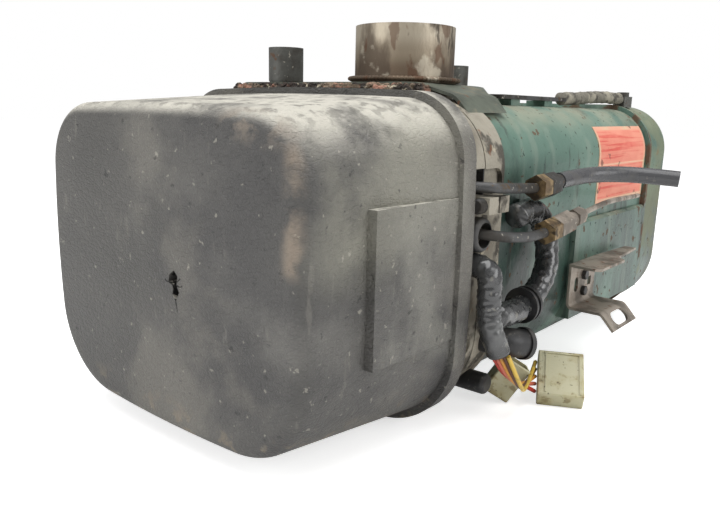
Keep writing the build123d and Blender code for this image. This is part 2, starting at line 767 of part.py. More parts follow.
# Motor shaft, running from the pump's gear to the impeller
impeller_rear = plate_front - 5
impeller_front = impeller_rear - impeller_length
pump_front = motor_front - pump_length
gear_front = pump_front + pump_cover_length + 2
with BuildPart() as motor_shaft:
    with BuildSketch(across(impeller_rear + 2)):
        Circle(shaft_radius)
    extrude(amount=impeller_rear + 2 - gear_front)
motor_shaft.part.label = "motor_shaft"
export_step(motor_shaft.part, "parts/motor_shaft.step")

# Impeller: a back disc, a hub and straight blades
with BuildPart() as fan_impeller:
    with BuildSketch(across(impeller_front + 2)):
        Circle(impeller_radius)
    extrude(amount=2)
    with BuildSketch(across(impeller_rear)):
        Circle(shaft_radius + 6)
        with PolarLocations((impeller_radius + shaft_radius + 10) / 2 - 1, blade_count):
            Rectangle(impeller_radius - shaft_radius - 10, 1.8)
    extrude(amount=impeller_length)
    with BuildSketch(across(impeller_rear)):
        Circle(shaft_radius)
    extrude(amount=impeller_length, mode=Mode.SUBTRACT)
fan_impeller.part.label = "fan_impeller"
export_step(fan_impeller.part, "parts/fan_impeller.step")

# Gear pump on the motor's front, with its cover
with BuildPart() as fuel_pump_body:
    with BuildSketch(across(motor_front)):
        with Locations((gear_distance / 2, 0)):
            RectangleRounded(pump_width + gear_distance / 2, pump_width, 6)
    extrude(amount=pump_length - pump_cover_length)
    with BuildSketch(across(motor_front - 6)):
        Circle(gear_tip_radius + 0.6)
        with Locations((gear_distance, 0)):
            Circle(gear_tip_radius + 0.6)
    extrude(amount=pump_length, mode=Mode.SUBTRACT)
    with BuildSketch(across(motor_front)):
        Circle(shaft_radius + 1)
    extrude(amount=pump_length, mode=Mode.SUBTRACT)
fuel_pump_body.part.label = "fuel_pump_body"
export_step(fuel_pump_body.part, "parts/fuel_pump_body.step")

with BuildPart() as fuel_pump_cover:
    with BuildSketch(across(pump_front + pump_cover_length)):
        with Locations((gear_distance / 2, 0)):
            RectangleRounded(pump_width + gear_distance / 2, pump_width, 6)
    extrude(amount=pump_cover_length)
    with BuildSketch(across(gear_front + gear_length)):
        with Locations((gear_distance, 0)):
            Circle(2.5)
    extrude(amount=gear_front + gear_length - pump_front - pump_cover_length)
fuel_pump_cover.part.label = "fuel_pump_cover"
export_step(fuel_pump_cover.part, "parts/fuel_pump_cover.step")


def gear_outline(bore):
    """A small gear's outline with short teeth, drawn in the open sketch round its centre."""
    Circle(gear_root_radius)
    with PolarLocations((gear_tip_radius + gear_root_radius) / 2 - 0.5, gear_teeth):
        Rectangle(gear_tip_radius - gear_root_radius + 0.8, 2.2)
    Circle(bore, mode=Mode.SUBTRACT)


with BuildPart() as pump_drive_gear:
    with BuildSketch(across(gear_front + gear_length)):
        gear_outline(shaft_radius)
    extrude(amount=gear_length)
pump_drive_gear.part.label = "pump_drive_gear"
export_step(pump_drive_gear.part, "parts/pump_drive_gear.step")

idler_plane = Plane(origin=place(gear_distance, gear_front + gear_length, 0), x_dir=(1, 0, 0), z_dir=(0, -1, 0))
with BuildPart() as pump_idler_gear:
    with BuildSketch(idler_plane):
        gear_outline(2.5 + running_clearance)
    extrude(amount=gear_length)
pump_idler_gear.part.label = "pump_idler_gear"
export_step(pump_idler_gear.part, "parts/pump_idler_gear.step")

# Valve block on the plate, which both fuel pipes leave
block_front = plate_front - 31
with BuildPart() as fuel_valve_block:
    with BuildSketch(across(plate_front)):
        with Locations(((block_left + block_right) / 2, (block_low + block_high) / 2)):
            RectangleRounded(block_right - block_left, block_high - block_low, 3)
    extrude(amount=plate_front - block_front)
    with BuildSketch(across(block_front)):
        with Locations(((block_left + block_right) / 2, block_low + 14)):
            Circle(11)
    extrude(amount=26)
fuel_valve_block.part.label = "fuel_valve_block"
export_step(fuel_valve_block.part, "parts/fuel_valve_block.step")

nozzle_route = [
    place(gear_distance / 2 + (pump_width + gear_distance / 2) / 2 + 0.3, motor_front - 10, 12),
    place(62, motor_front - 10, 12), place(87, 52, 50), place(87, block_front - 0.3, 50)]
with BuildPart() as nozzle_line:
    tube(nozzle_route, [9, 12], 5)
nozzle_line.part.label = "nozzle_line"
export_step(nozzle_line.part, "parts/nozzle_line.step")

# Nozzle block in the plate's bore, and the nozzle on it
with BuildPart() as nozzle_block:
    with BuildSketch(across(rim_rear)):
        Circle(burner_bore)
        with PolarLocations(23, 8):
            Circle(5, mode=Mode.SUBTRACT)
    extrude(amount=plate_thickness - 2)
nozzle_block.part.label = "nozzle_block"
export_step(nozzle_block.part, "parts/nozzle_block.step")

with BuildPart() as fuel_nozzle:
    with BuildSketch(across(rim_rear + 18)):
        RegularPolygon(8, 6)
    extrude(amount=18)
    with BuildSketch(across(rim_rear + 30)):
        Circle(6)
    extrude(amount=12)
    chamfer(fuel_nozzle.faces().sort_by(Axis.Y)[-1].edges(), 2)
fuel_nozzle.part.label = "fuel_nozzle"
export_step(fuel_nozzle.part, "parts/fuel_nozzle.step")

# Burner tube on the plate's rear, with its baffle
with BuildPart() as burner_tube:
    with BuildSketch(across(rim_rear + burner_tube_length)):
        Circle(burner_tube_radius)
        Circle(burner_tube_radius - burner_tube_wall, mode=Mode.SUBTRACT)
    extrude(amount=burner_tube_length)
    with BuildSketch(across(rim_rear + 2)):
        Circle(burner_tube_radius + 6)
        Circle(burner_tube_radius - burner_tube_wall, mode=Mode.SUBTRACT)
    extrude(amount=2)
    with BuildSketch(across(rim_rear + burner_tube_length)):
        Circle(burner_tube_radius)
        Circle(14, mode=Mode.SUBTRACT)
    extrude(amount=2)
burner_tube.part.label = "burner_tube"
export_step(burner_tube.part, "parts/burner_tube.step")

# Ignition electrodes on the nozzle block
with BuildPart() as ignition_electrodes:
    with BuildSketch(across(rim_rear + 24)):
        with Locations((-5, 15), (5, 15)):
            Circle(2.2)
    extrude(amount=24)
ignition_electrodes.part.label = "ignition_electrodes"
export_step(ignition_electrodes.part, "parts/ignition_electrodes.step")

# Ignition coil and control unit on the plate's front
with BuildPart() as ignition_coil:
    with BuildSketch(across(plate_front)):
        with Locations((-87, 0)):
            RectangleRounded(40, 60, 5)
    extrude(amount=60)
ignition_coil.part.label = "ignition_coil"
export_step(ignition_coil.part, "parts/ignition_coil.step")

with BuildPart() as control_unit:
    with BuildSketch(across(plate_front)):
        with Locations((-30, 78)):
            RectangleRounded(90, 22, 3)
    extrude(amount=70)
control_unit.part.label = "control_unit"
export_step(control_unit.part, "parts/control_unit.step")

# Fuel pipes out of the valve block, through the plate's rim and back along the jacket
supply_route = [
    place(block_right + 0.3, 134, 49), place(112, 134, 49), place(131, 150, 48), place(132, 195, 45)]
return_route = [
    place(block_right + 0.3, return_along, return_up), place(127, return_along, return_up), place(136, 158, 18),
    place(140, 176, 16.5), place(142, 193, 17.5)]
with BuildPart() as supply_pipe:
    tube(supply_route, [12, 14], pipe_diameter)
supply_pipe.part.label = "supply_pipe"
export_step(supply_pipe.part, "parts/supply_pipe.step")

with BuildPart() as return_pipe:
    tube(return_route, [12, 24, 40], pipe_diameter)
return_pipe.part.label = "return_pipe"
export_step(return_pipe.part, "parts/return_pipe.step")


def fitting_plane(start, end):
    """Plane at a fitting's rear end, facing back along it."""
    return Plane(origin=end, x_dir=(0, 0, 1), z_dir=Vector(start) - Vector(end))


supply_nut_rear = place(132, 195 + nut_length, 45.2)
return_nut_rear = place(142.1, 193 + nut_length, 18.5)
with BuildPart() as pipe_nuts:
    for front, rear in ((supply_route[-1], supply_nut_rear), (return_route[-1], return_nut_rear)):
        with BuildSketch(fitting_plane(front, rear)):
            RegularPolygon(nut_across_flats / 2, 6, major_radius=False)
        extrude(amount=nut_length - 2 * seam_clearance)
    chamfer(pipe_nuts.edges().filter_by(Axis.X, reverse=True).group_by(Axis.Y)[0], 0.8)
pipe_nuts.part.label = "pipe_nuts"
export_step(pipe_nuts.part, "parts/pipe_nuts.step")

# Couplings behind the nuts
with BuildPart() as supply_coupling:
    with BuildSketch(fitting_plane(supply_nut_rear, place(132, 222, 46))):
        RegularPolygon(7.2, 6, major_radius=False)
    extrude(amount=14.5)
    with BuildSketch(fitting_plane(supply_nut_rear, place(131, 232, 47))):
        Circle(5)
    extrude(amount=12)
supply_coupling.part.label = "supply_coupling"
export_step(supply_coupling.part, "parts/supply_coupling.step")

with BuildPart() as return_coupling:
    with BuildSketch(fitting_plane(return_nut_rear, place(142.2, 226, 21))):
        RegularPolygon(7.2, 6, major_radius=False)
    extrude(amount=20.6)
    with BuildSketch(fitting_plane(return_nut_rear, place(142.2, 249, 23.7))):
        Circle(5)
    extrude(amount=24)
    with BuildSketch(fitting_plane(return_nut_rear, place(142.2, 245, 23.2))):
        RegularPolygon(5.8, 6, major_radius=False)
    extrude(amount=10)
return_coupling.part.label = "return_coupling"
export_step(return_coupling.part, "parts/return_coupling.step")

# Rubber grommet round the return pipe, on the plate's right wall
with BuildPart() as pipe_grommet:
    with BuildSketch(upright(rim_width / 2)):
        with Locations((142, 20)):
            Circle(10.7)
    extrude(amount=7)
    fillet(pipe_grommet.faces().sort_by(Axis.X)[-1].edges(), 2.5)
    with BuildSketch(upright(rim_width / 2)):
        with Locations((return_along + 0.5, return_up - 0.5)):
            Circle(7.8)
    extrude(amount=7, mode=Mode.SUBTRACT)
pipe_grommet.part.label = "pipe_grommet"
export_step(pipe_grommet.part, "parts/pipe_grommet.step")

# Air intake elbow on the ring's lower right side
elbow_diameter, elbow_bore = 19.0, 14.0
elbow_route = [place(108, 166, -51.5), place(133, 167, -52), place(139, 184, -55.5)]
with BuildPart() as air_intake_elbow:
    tube(elbow_route, [11], elbow_diameter)
    with BuildSketch(across(ring_rear + 2)):
        rim_outline()
    extrude(amount=ring_length + 8, mode=Mode.SUBTRACT)
    mouth = Vector(*elbow_route[-1])
    with BuildSketch(Plane(origin=mouth, z_dir=Vector(*elbow_route[1]) - mouth)):
        Circle(elbow_diameter / 2 + 1.2)
    extrude(amount=3.5)
    with BuildLine() as bore_route:
        FilletPolyline(*elbow_route, radius=[11])
    with BuildSketch(Plane(origin=elbow_route[0], z_dir=bore_route.wires()[0] % 0)) as bore:
        Circle(elbow_bore / 2)
    sweep(bore.sketch, path=bore_route.wires()[0], mode=Mode.SUBTRACT)
air_intake_elbow.part.label = "air_intake_elbow"
export_step(air_intake_elbow.part, "parts/air_intake_elbow.step")

# Rubber drain boot under the ring
with BuildPart() as drain_boot:
    with BuildSketch(upright(90)):
        with Locations((163, -82)):
            Circle(7)
    extrude(amount=35)
    fillet(drain_boot.faces().sort_by(Axis.X)[-1].edges(), 3)
    with BuildSketch(across(ring_rear)):
        rim_outline()
    extrude(amount=ring_length, mode=Mode.SUBTRACT)
drain_boot.part.label = "drain_boot"
export_step(drain_boot.part, "parts/drain_boot.step")

# Cords: hose, return line, harness, its branch, and the loose wires
hose_route = [
    place(131, 232.4, 47), place(131, 259, 48.5), place(143, 286, 50), place(165, 305, 49.5), place(187, 312, 48)]
with BuildPart() as fuel_hose:
    cord("fuel_hose", hose_route, hose_diameter)
fuel_hose.part.label = "fuel_hose"
export_step(fuel_hose.part, "parts/fuel_hose.step")

return_line_route = [
    place(142.2, 249.3, 23.75), place(142, 288, 28), place(138, 332, 27), place(131, 378, 24), place(124, 420, 21.5)]
with BuildPart() as return_line:
    cord("return_line", return_line_route, return_line_diameter)
return_line.part.label = "return_line"
export_step(return_line.part, "parts/return_line.step")

harness_route = [
    place(rim_width / 2, 142, 1), place(133, 142, 1), place(134, 141, -13), place(134, 141, -27),
    place(137, 141.5, -40), place(140, 147, -52)]
with BuildPart() as main_harness:
    tube(harness_route, [8, 40, 40, 22], harness_diameter)
main_harness.part.label = "main_harness"
export_step(main_harness.part, "parts/main_harness.step")

branch_route = [
    place(134, 150, -31), place(133, 168, -33.5), place(132, 190, -33.5), place(132, 209, -27), place(132, 224, -12),
    place(127.5, 229, 7), place(124, 224, 23), place(123.8, 206, 30.5), place(123.8, 188, 26)]
with BuildPart() as branch_harness:
    cord("branch_harness", branch_route, branch_diameter)
branch_harness.part.label = "branch_harness"
export_step(branch_harness.part, "parts/branch_harness.step")

# Double-flanged grommet round the branch
with BuildPart() as harness_grommet:
    with BuildSketch(across(196)):
        with Locations((132, -32)):
            Circle(12)
    extrude(amount=8)
    with BuildSketch(across(193.5)):
        with Locations((132, -32)):
            Circle(13)
            Circle(10, mode=Mode.SUBTRACT)
    extrude(amount=3, mode=Mode.SUBTRACT)
    add(branch_harness.part, mode=Mode.SUBTRACT)
harness_grommet.part.label = "harness_grommet"
export_step(harness_grommet.part, "parts/harness_grommet.step")

# Plug lying on the floor, leaning back, with pockets in its end
lean = math.radians(57.5)
plug_along = Vector(0.891, 0.453, 0)
plug_back = Vector(-0.453, 0.891, 0)
plug_up = plug_back * math.sin(lean) + Vector(0, 0, math.cos(lean))
plug_plane = Plane(origin=place(139.7, 207.3, -axis_height), x_dir=plug_along, z_dir=plug_along.cross(plug_up))
with BuildPart() as plug_housing:
    with BuildSketch(plug_plane):
        Rectangle(plug_length, plug_width, align=(Align.MIN, Align.MIN))
    extrude(amount=plug_thickness)
    chamfer(plug_housing.edges(), 0.7)
    end_plane = Plane(
        origin=plug_plane.from_local_coords((plug_length, 0, 0)), x_dir=plug_up, z_dir=plug_along)
    with BuildSketch(end_plane):
        with Locations((plug_width / 2, -plug_thickness / 2)):
            with GridLocations(5.8, 6, 6, 2):
                Rectangle(4, 4)
    extrude(amount=-10, mode=Mode.SUBTRACT)
plug_housing.part.label = "plug_housing"
export_step(plug_housing.part, "parts/plug_housing.step")

# Second connector beside it
connector_plane = Plane(origin=place(116.4, 203, -104.8), x_dir=(0.45, 0.30, 0.84), z_dir=(0.618, -0.738, -0.0675))
with BuildPart() as second_connector:
    with BuildSketch(connector_plane):
        Rectangle(28, 20, align=(Align.MIN, Align.MIN))
    extrude(amount=12)
    chamfer(second_connector.edges(), 0.7)
    with BuildSketch(connector_plane.offset(6)):
        with Locations((23, 10)):
            Rectangle(12, 16)
    extrude(amount=4.5, both=True, mode=Mode.SUBTRACT)
second_connector.part.label = "second_connector"
export_step(second_connector.part, "parts/second_connector.step")

# Five loose wires from the harness's mouth to the plug
with BuildPart() as plug_wires:
    for index in range(5):
        spread = (index - 2) * 3.2
        target = plug_plane.from_local_coords((-1.7, plug_width / 2 + 2 * spread, plug_thickness / 2))
        wire_route = [
            place(140.5 + spread * 0.9, 148 - spread * 0.1, -54.3 + spread * 0.2),
            place(144 + spread, 158, -72 - spread / 3), place(141 + spread / 2, 179, -84 - spread / 2), target]
        tube(wire_route, [14, 20], wire_diameter)
plug_wires.part.label = "plug_wires"
export_step(plug_wires.part, "parts/plug_wires.step")
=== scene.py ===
import math

import bmesh
import bpy
from mathutils import Matrix, Vector


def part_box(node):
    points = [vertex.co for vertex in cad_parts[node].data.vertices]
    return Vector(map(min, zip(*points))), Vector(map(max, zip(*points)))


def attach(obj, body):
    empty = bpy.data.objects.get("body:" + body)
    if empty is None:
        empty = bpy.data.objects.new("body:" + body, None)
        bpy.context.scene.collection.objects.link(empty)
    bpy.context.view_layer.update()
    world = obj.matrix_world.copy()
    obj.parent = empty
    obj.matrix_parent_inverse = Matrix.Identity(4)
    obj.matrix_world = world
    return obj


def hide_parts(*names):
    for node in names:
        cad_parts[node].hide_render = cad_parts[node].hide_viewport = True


bl_info = {
    "name": "Diesel Coolant Heater",
    "version": (1, 0, 0),
    "blender": (4, 5, 0),
    "location": "View3D > Sidebar > Heater",
    "description": "Finishes, cords and small pieces of a diesel coolant heater, and a plain studio",
    "category": "Object",
}

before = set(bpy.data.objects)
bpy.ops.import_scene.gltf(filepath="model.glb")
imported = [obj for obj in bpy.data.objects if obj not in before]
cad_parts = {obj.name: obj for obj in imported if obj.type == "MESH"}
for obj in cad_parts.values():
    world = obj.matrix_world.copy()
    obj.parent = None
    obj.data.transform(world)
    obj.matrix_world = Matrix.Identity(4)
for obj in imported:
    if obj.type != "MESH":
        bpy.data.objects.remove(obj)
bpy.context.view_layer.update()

# Places are given in millimetres: across, behind the hood's face, and above the burner's axis
FACE_Y = -256.0
AXIS_HEIGHT = 106.0


def place(x, along, up):
    """Point in the frame, in metres."""
    return Vector((x, FACE_Y + along, AXIS_HEIGHT + up)) / 1000


def tone(red, green, blue):
    """Linear colour from display values of 0 to 255."""
    return tuple(
        (value / 255 / 12.92) if value / 255 <= 0.04045 else ((value / 255 + 0.055) / 1.055) ** 2.4
        for value in (red, green, blue)) + (1.0,)


# Cord routes, the same points as the part's
HOSE_ROUTE = [
    place(131, 232.4, 47), place(131, 259, 48.5), place(143, 286, 50), place(165, 305, 49.5),
    place(187, 312, 48)]
LINE_ROUTE = [
    place(142.2, 249.3, 23.75), place(142, 288, 28), place(138, 332, 27), place(131, 378, 24),
    place(124, 420, 21.5)]
HARNESS_ROUTE = [
    place(120.5, 142, 1), place(133, 142, 1), place(134, 141, -13), place(134, 141, -27),
    place(137, 141.5, -40), place(140, 147, -52)]
BRANCH_ROUTE = [
    place(134, 150, -31), place(133, 168, -33.5), place(132, 190, -33.5), place(132, 209, -27),
    place(132, 224, -12), place(127.5, 229, 7), place(124, 224, 23), place(123.8, 206, 30.5),
    place(123.8, 188, 26)]
LEAD_ROUTE = [
    place(75, 349.2, 104), place(75, 378, 104.5), place(76, 408, 106.5), place(79, 438, 107.5),
    place(82, 463, 106.5)]
PLUG_CORNER = place(139.7, 207.3, -106)
PLUG_ALONG = Vector((0.891, 0.453, 0))
PLUG_LEAN = math.radians(57.5)
PLUG_UP = Vector((-0.453, 0.891, 0)) * math.sin(PLUG_LEAN) + Vector((0, 0, math.cos(PLUG_LEAN)))
PLUG_OUT = PLUG_ALONG.cross(PLUG_UP)
PLUG_WIDTH, PLUG_THICKNESS = 0.038, 0.014
# Each light's place and side in metres and its power in watts, and the point they all face
LIGHTS = {
    "top_light": ((0.1, -0.2, 1.7), 1.8, 31),
    "front_light": ((-0.7, -1.9, 0.7), 1.3, 15),
    "side_light": ((1.9, 0.35, 0.9), 1.2, 15),
}
LIGHT_TARGET = Vector((0.0, 0.0, 0.1))
# Strength of the sky as a light, and where the camera sees it
SKY_LIGHT, SKY_SEEN = 0.42, 1.0
# Steps between a route's control points, and corners round a crinkled sleeve
ROUTE_STEPS, SLEEVE_SIDES = 16, 28
# Millimetres between neighbouring loose wires
WIRE_PITCH = 3.2
# Height of the stub's weld, and how far the crumbs are lifted off the foam, in metres
WELD_HEIGHT, CRUMB_LIFT = place(0, 0, 112.5).z, 0.0002
# The plug's ridges: their ends along and up the plug, their width and height, and how deep they sink
PLUG_RIDGES = (
    ((0.0055, 0.0015), (0.0055, 0.0365)), ((0.0285, 0.0015), (0.0285, 0.0365)),
    ((0.004, 0.0355), (0.029, 0.0355)))
RIDGE_SECTION, RIDGE_SINK = (0.0012, 0.0009), 0.0001
# The plug's contacts: both ends along the plug, width and height, columns, and their spacing
CONTACT_ENDS, CONTACT_SECTION = (0.0212, 0.029), (0.0018, 0.0009)
CONTACT_COLUMNS, CONTACT_PITCH, CONTACT_ROW = 6, 0.0058, 0.003


class HeaterFinishSizes(bpy.types.PropertyGroup):
    hood_colour: bpy.props.FloatVectorProperty(
        name="Hood", description="Colour of the hood's moulding", subtype="COLOR", size=4,
        min=0, max=1, default=tone(70, 69, 66))
    green_colour: bpy.props.FloatVectorProperty(
        name="Green paint", description="Colour of the jacket's paint", subtype="COLOR", size=4,
        min=0, max=1, default=tone(86, 116, 103))
    casting_colour: bpy.props.FloatVectorProperty(
        name="Casting", description="Colour of the ring's casting", subtype="COLOR", size=4,
        min=0, max=1, default=tone(158, 152, 138))
    label_colour: bpy.props.FloatVectorProperty(
        name="Label", description="Colour of the plain label", subtype="COLOR", size=4,
        min=0, max=1, default=tone(204, 84, 70))
    grain_size: bpy.props.FloatProperty(
        name="Leather grain", description="Size of the hood's grain cells", subtype="DISTANCE", unit="LENGTH",
        default=0.0019, min=0.0005, max=0.02)


class HeaterPieceSizes(bpy.types.PropertyGroup):
    hose_diameter: bpy.props.FloatProperty(
        name="Hose diameter", description="Outer diameter of the fuel hose", subtype="DISTANCE",
        unit="LENGTH", default=0.0116)
    line_diameter: bpy.props.FloatProperty(
        name="Return line diameter", description="Outer diameter of the return line", subtype="DISTANCE",
        unit="LENGTH", default=0.004)
    branch_diameter: bpy.props.FloatProperty(
        name="Branch diameter", description="Outer diameter of the sleeved branch", subtype="DISTANCE",
        unit="LENGTH", default=0.015)
    harness_diameter: bpy.props.FloatProperty(
        name="Harness diameter", description="Outer diameter of the sleeved harness", subtype="DISTANCE",
        unit="LENGTH", default=0.014)
    wire_diameter: bpy.props.FloatProperty(
        name="Wire diameter", description="Outer diameter of a loose wire", subtype="DISTANCE",
        unit="LENGTH", default=0.0028)
    lead_diameter: bpy.props.FloatProperty(
        name="Sensor lead diameter", description="Outer diameter of the sensor's sleeve", subtype="DISTANCE",
        unit="LENGTH", default=0.010)
    crumb_size: bpy.props.FloatProperty(
        name="Foam crumb", description="Radius of a crumb of the sealing foam", subtype="DISTANCE",
        unit="LENGTH", default=0.0024)
    crumb_density: bpy.props.FloatProperty(
        name="Foam crumbs per square metre", description="How thickly the crumbs lie", default=60000)
    bead_radius: bpy.props.FloatProperty(
        name="Weld ripple", description="Radius of one ripple of the stub's weld", subtype="DISTANCE",
        unit="LENGTH", default=0.0022)
    ripple_count: bpy.props.IntProperty(
        name="Weld ripples", description="Number of ripples round the stub's foot", default=84, min=3)


class HeaterStageSizes(bpy.types.PropertyGroup):
    eye: bpy.props.FloatVectorProperty(
        name="Eye", description="Place of the camera", subtype="XYZ", unit="LENGTH", size=3,
        default=(0.3323, -0.4791, 0.1996))
    yaw: bpy.props.FloatProperty(
        name="Yaw", description="Camera's turn from +Y towards -X", subtype="ANGLE",
        default=math.radians(39.46))
    pitch: bpy.props.FloatProperty(
        name="Pitch", description="How far the camera looks down", subtype="ANGLE",
        default=math.radians(12.66))
    roll: bpy.props.FloatProperty(
        name="Roll", description="Camera's turn about its own view", subtype="ANGLE",
        default=math.radians(1.45))
    lens: bpy.props.FloatProperty(
        name="Lens", description="Focal length on a 36 mm wide sensor, in millimetres", default=35.0)
    floor_lift: bpy.props.FloatProperty(
        name="Floor lift", description="Light added to the floor where the camera sees it", default=0.62)
    floor_size: bpy.props.FloatProperty(
        name="Floor", description="Side of the floor", subtype="DISTANCE", unit="LENGTH", default=12.0)


class Finish:
    """A material made of layers, each mixed over the last by a pattern on Object coordinates."""

    def __init__(self, name, colour, roughness, metallic=0.0, specular=0.5):
        self.material = bpy.data.materials.new(name)
        self.material.use_nodes = True
        self.tree = self.material.node_tree
        self.shader = self.tree.nodes["Principled BSDF"]
        self.shader.inputs["Metallic"].default_value = metallic
        self.shader.inputs["Specular IOR Level"].default_value = specular
        self.object_place = self.tree.nodes.new("ShaderNodeTexCoord").outputs["Object"]
        self.colour = colour
        self.roughness = roughness
        self.height = None

    def node(self, kind, **settings):
        """Add a node with its own settings."""
        made = self.tree.nodes.new(kind)
        for key, value in settings.items():
            setattr(made, key, value)
        return made

    def feed(self, socket, value):
        """Link a socket, or set its value."""
        if isinstance(value, bpy.types.NodeSocket):
            self.tree.links.new(value, socket)
        else:
            socket.default_value = value

    def stretched(self, stretch):
        """Object coordinates, stretched along their axes."""
        mapping = self.node("ShaderNodeMapping")
        self.feed(mapping.inputs["Vector"], self.object_place)
        mapping.inputs["Scale"].default_value = stretch
        return mapping.outputs["Vector"]

    def moved(self, start, scale, amount):
        """Coordinates moved about raggedly by up to an amount in metres."""
        ragged = self.node("ShaderNodeTexNoise")
        self.feed(ragged.inputs["Vector"], self.object_place)
        ragged.inputs["Scale"].default_value = scale
        bend = self.node("ShaderNodeVectorMath", operation="MULTIPLY_ADD")
        self.feed(bend.inputs[0], ragged.outputs["Color"])
        bend.inputs[1].default_value = (amount,) * 3
        self.feed(bend.inputs[2], start)
        return bend.outputs["Vector"]

    def ramp(self, value, low, high):
        """Map low to 0 and high to 1, smoothly."""
        ramp = self.node("ShaderNodeMapRange", interpolation_type="SMOOTHSTEP")
        self.feed(ramp.inputs["Value"], value)
        self.feed(ramp.inputs["From Min"], low)
        self.feed(ramp.inputs["From Max"], high)
        return ramp.outputs["Result"]

    def noise(self, scale, low=0.4, high=0.6, detail=5.0, stretch=(1, 1, 1)):
        """Cloudy pattern of 0 to 1."""
        noise = self.node("ShaderNodeTexNoise")
        self.feed(noise.inputs["Vector"], self.stretched(stretch))
        noise.inputs["Scale"].default_value = scale
        noise.inputs["Detail"].default_value = detail
        noise.inputs["Roughness"].default_value = 0.55
        return self.ramp(noise.outputs["Fac"], low, high)

    def cells(self, scale, low=0.0, high=0.1, stretch=(1, 1, 1)):
        """Pattern of cells, 0 in the creases between them."""
        cells = self.node("ShaderNodeTexVoronoi", feature="DISTANCE_TO_EDGE")
        self.feed(cells.inputs["Vector"], self.moved(self.stretched(stretch), scale * 0.6, 0.7 / scale))
        cells.inputs["Scale"].default_value = scale
        return self.ramp(cells.outputs["Distance"], low, high)

    def maths(self, operation, first, second):
        """Combine two values, clamped to 0 to 1."""
        maths = self.node("ShaderNodeMath", operation=operation, use_clamp=True)
        self.feed(maths.inputs[0], first)
        self.feed(maths.inputs[1], second)
        return maths.outputs["Value"]

    def both(self, first, second):
        """One pattern where the other is too."""
        return self.maths("MULTIPLY", first, second)

    def outside(self, factor):
        """1 where a pattern is 0, and the other way round."""
        return self.maths("SUBTRACT", 1.0, factor)

    def band(self, axis, low, high, soft=0.002):
        """1 between two places along an axis, in metres, and 0 outside."""
        parts = self.node("ShaderNodeSeparateXYZ")
        self.feed(parts.inputs["Vector"], self.object_place)
        value = parts.outputs[axis]
        return self.both(self.ramp(value, low - soft, low + soft), self.ramp(value, high + soft, high - soft))

    def region(self, lowest, highest, soft=0.002):
        """1 inside a box given by two corners, and 0 outside."""
        across = self.band("X", lowest.x, highest.x, soft)
        along = self.band("Y", lowest.y, highest.y, soft)
        up = self.band("Z", lowest.z, highest.z, soft)
        return self.both(self.both(across, along), up)

    def split(self, centre, turn, reach, ragged=0.003):
        """1 in a thin ragged crack that leaves a point of the hood's face at an angle in degrees."""
        mapping = self.node("ShaderNodeMapping", vector_type="TEXTURE")
        self.feed(mapping.inputs["Vector"], self.moved(self.object_place, 260, ragged))
        mapping.inputs["Location"].default_value = centre + Vector((ragged / 2,) * 3)
        mapping.inputs["Rotation"].default_value = (0, -math.radians(turn), 0)
        parts = self.node("ShaderNodeSeparateXYZ")
        self.feed(parts.inputs["Vector"], mapping.outputs["Vector"])
        width = self.node("ShaderNodeMath", operation="ABSOLUTE")
        self.feed(width.inputs[0], parts.outputs["Z"])
        thin = self.ramp(width.outputs["Value"], 0.0005, 0.0002)
        length = self.both(
            self.ramp(parts.outputs["X"], -0.0005, 0.0005), self.ramp(parts.outputs["X"], reach, reach * 0.9))
        depth = self.ramp(parts.outputs["Y"], 0.012, 0.008)
        return self.both(self.both(thin, length), depth)

    def blot(self, centre, radius, ragged=0.004):
        """1 inside a ragged round patch about a point."""
        apart = self.node("ShaderNodeVectorMath", operation="DISTANCE")
        self.feed(apart.inputs[0], self.moved(self.object_place, 330, ragged))
        apart.inputs[1].default_value = centre + Vector((ragged / 2,) * 3)
        return self.ramp(apart.outputs["Value"], radius + 0.0003, radius - 0.0003)

    def upward(self, low=0.5, high=0.95):
        """1 where the surface faces up."""
        geometry = self.node("ShaderNodeNewGeometry")
        parts = self.node("ShaderNodeSeparateXYZ")
        self.feed(parts.inputs["Vector"], geometry.outputs["Normal"])
        return self.ramp(parts.outputs["Z"], low, high)

    def layer(self, factor, colour, roughness=None, amount=1.0):
        """Mix a colour, and a roughness, over what is there."""
        weight = self.maths("MULTIPLY", factor, amount)
        mix = self.node("ShaderNodeMix", data_type="RGBA")
        self.feed(mix.inputs["Factor"], weight)
        self.feed(mix.inputs["A"], self.colour)
        self.feed(mix.inputs["B"], colour)
        self.colour = mix.outputs["Result"]
        if roughness is not None:
            blend = self.node("ShaderNodeMix", data_type="FLOAT")
            self.feed(blend.inputs["Factor"], weight)
            self.feed(blend.inputs["A"], self.roughness)
            self.feed(blend.inputs["B"], roughness)
            self.roughness = blend.outputs["Result"]

    def relief(self, height, strength, distance):
        """Add a bump over the last one."""
        bump = self.node("ShaderNodeBump")
        bump.inputs["Strength"].default_value = strength
        bump.inputs["Distance"].default_value = distance
        self.feed(bump.inputs["Height"], height)
        if self.height is not None:
            self.feed(bump.inputs["Normal"], self.height)
        self.height = bump.outputs["Normal"]

    def done(self):
        """Link what was built to the shader."""
        self.feed(self.shader.inputs["Base Color"], self.colour)
        self.feed(self.shader.inputs["Roughness"], self.roughness)
        if self.height is not None:
            self.feed(self.shader.inputs["Normal"], self.height)
        return self.material


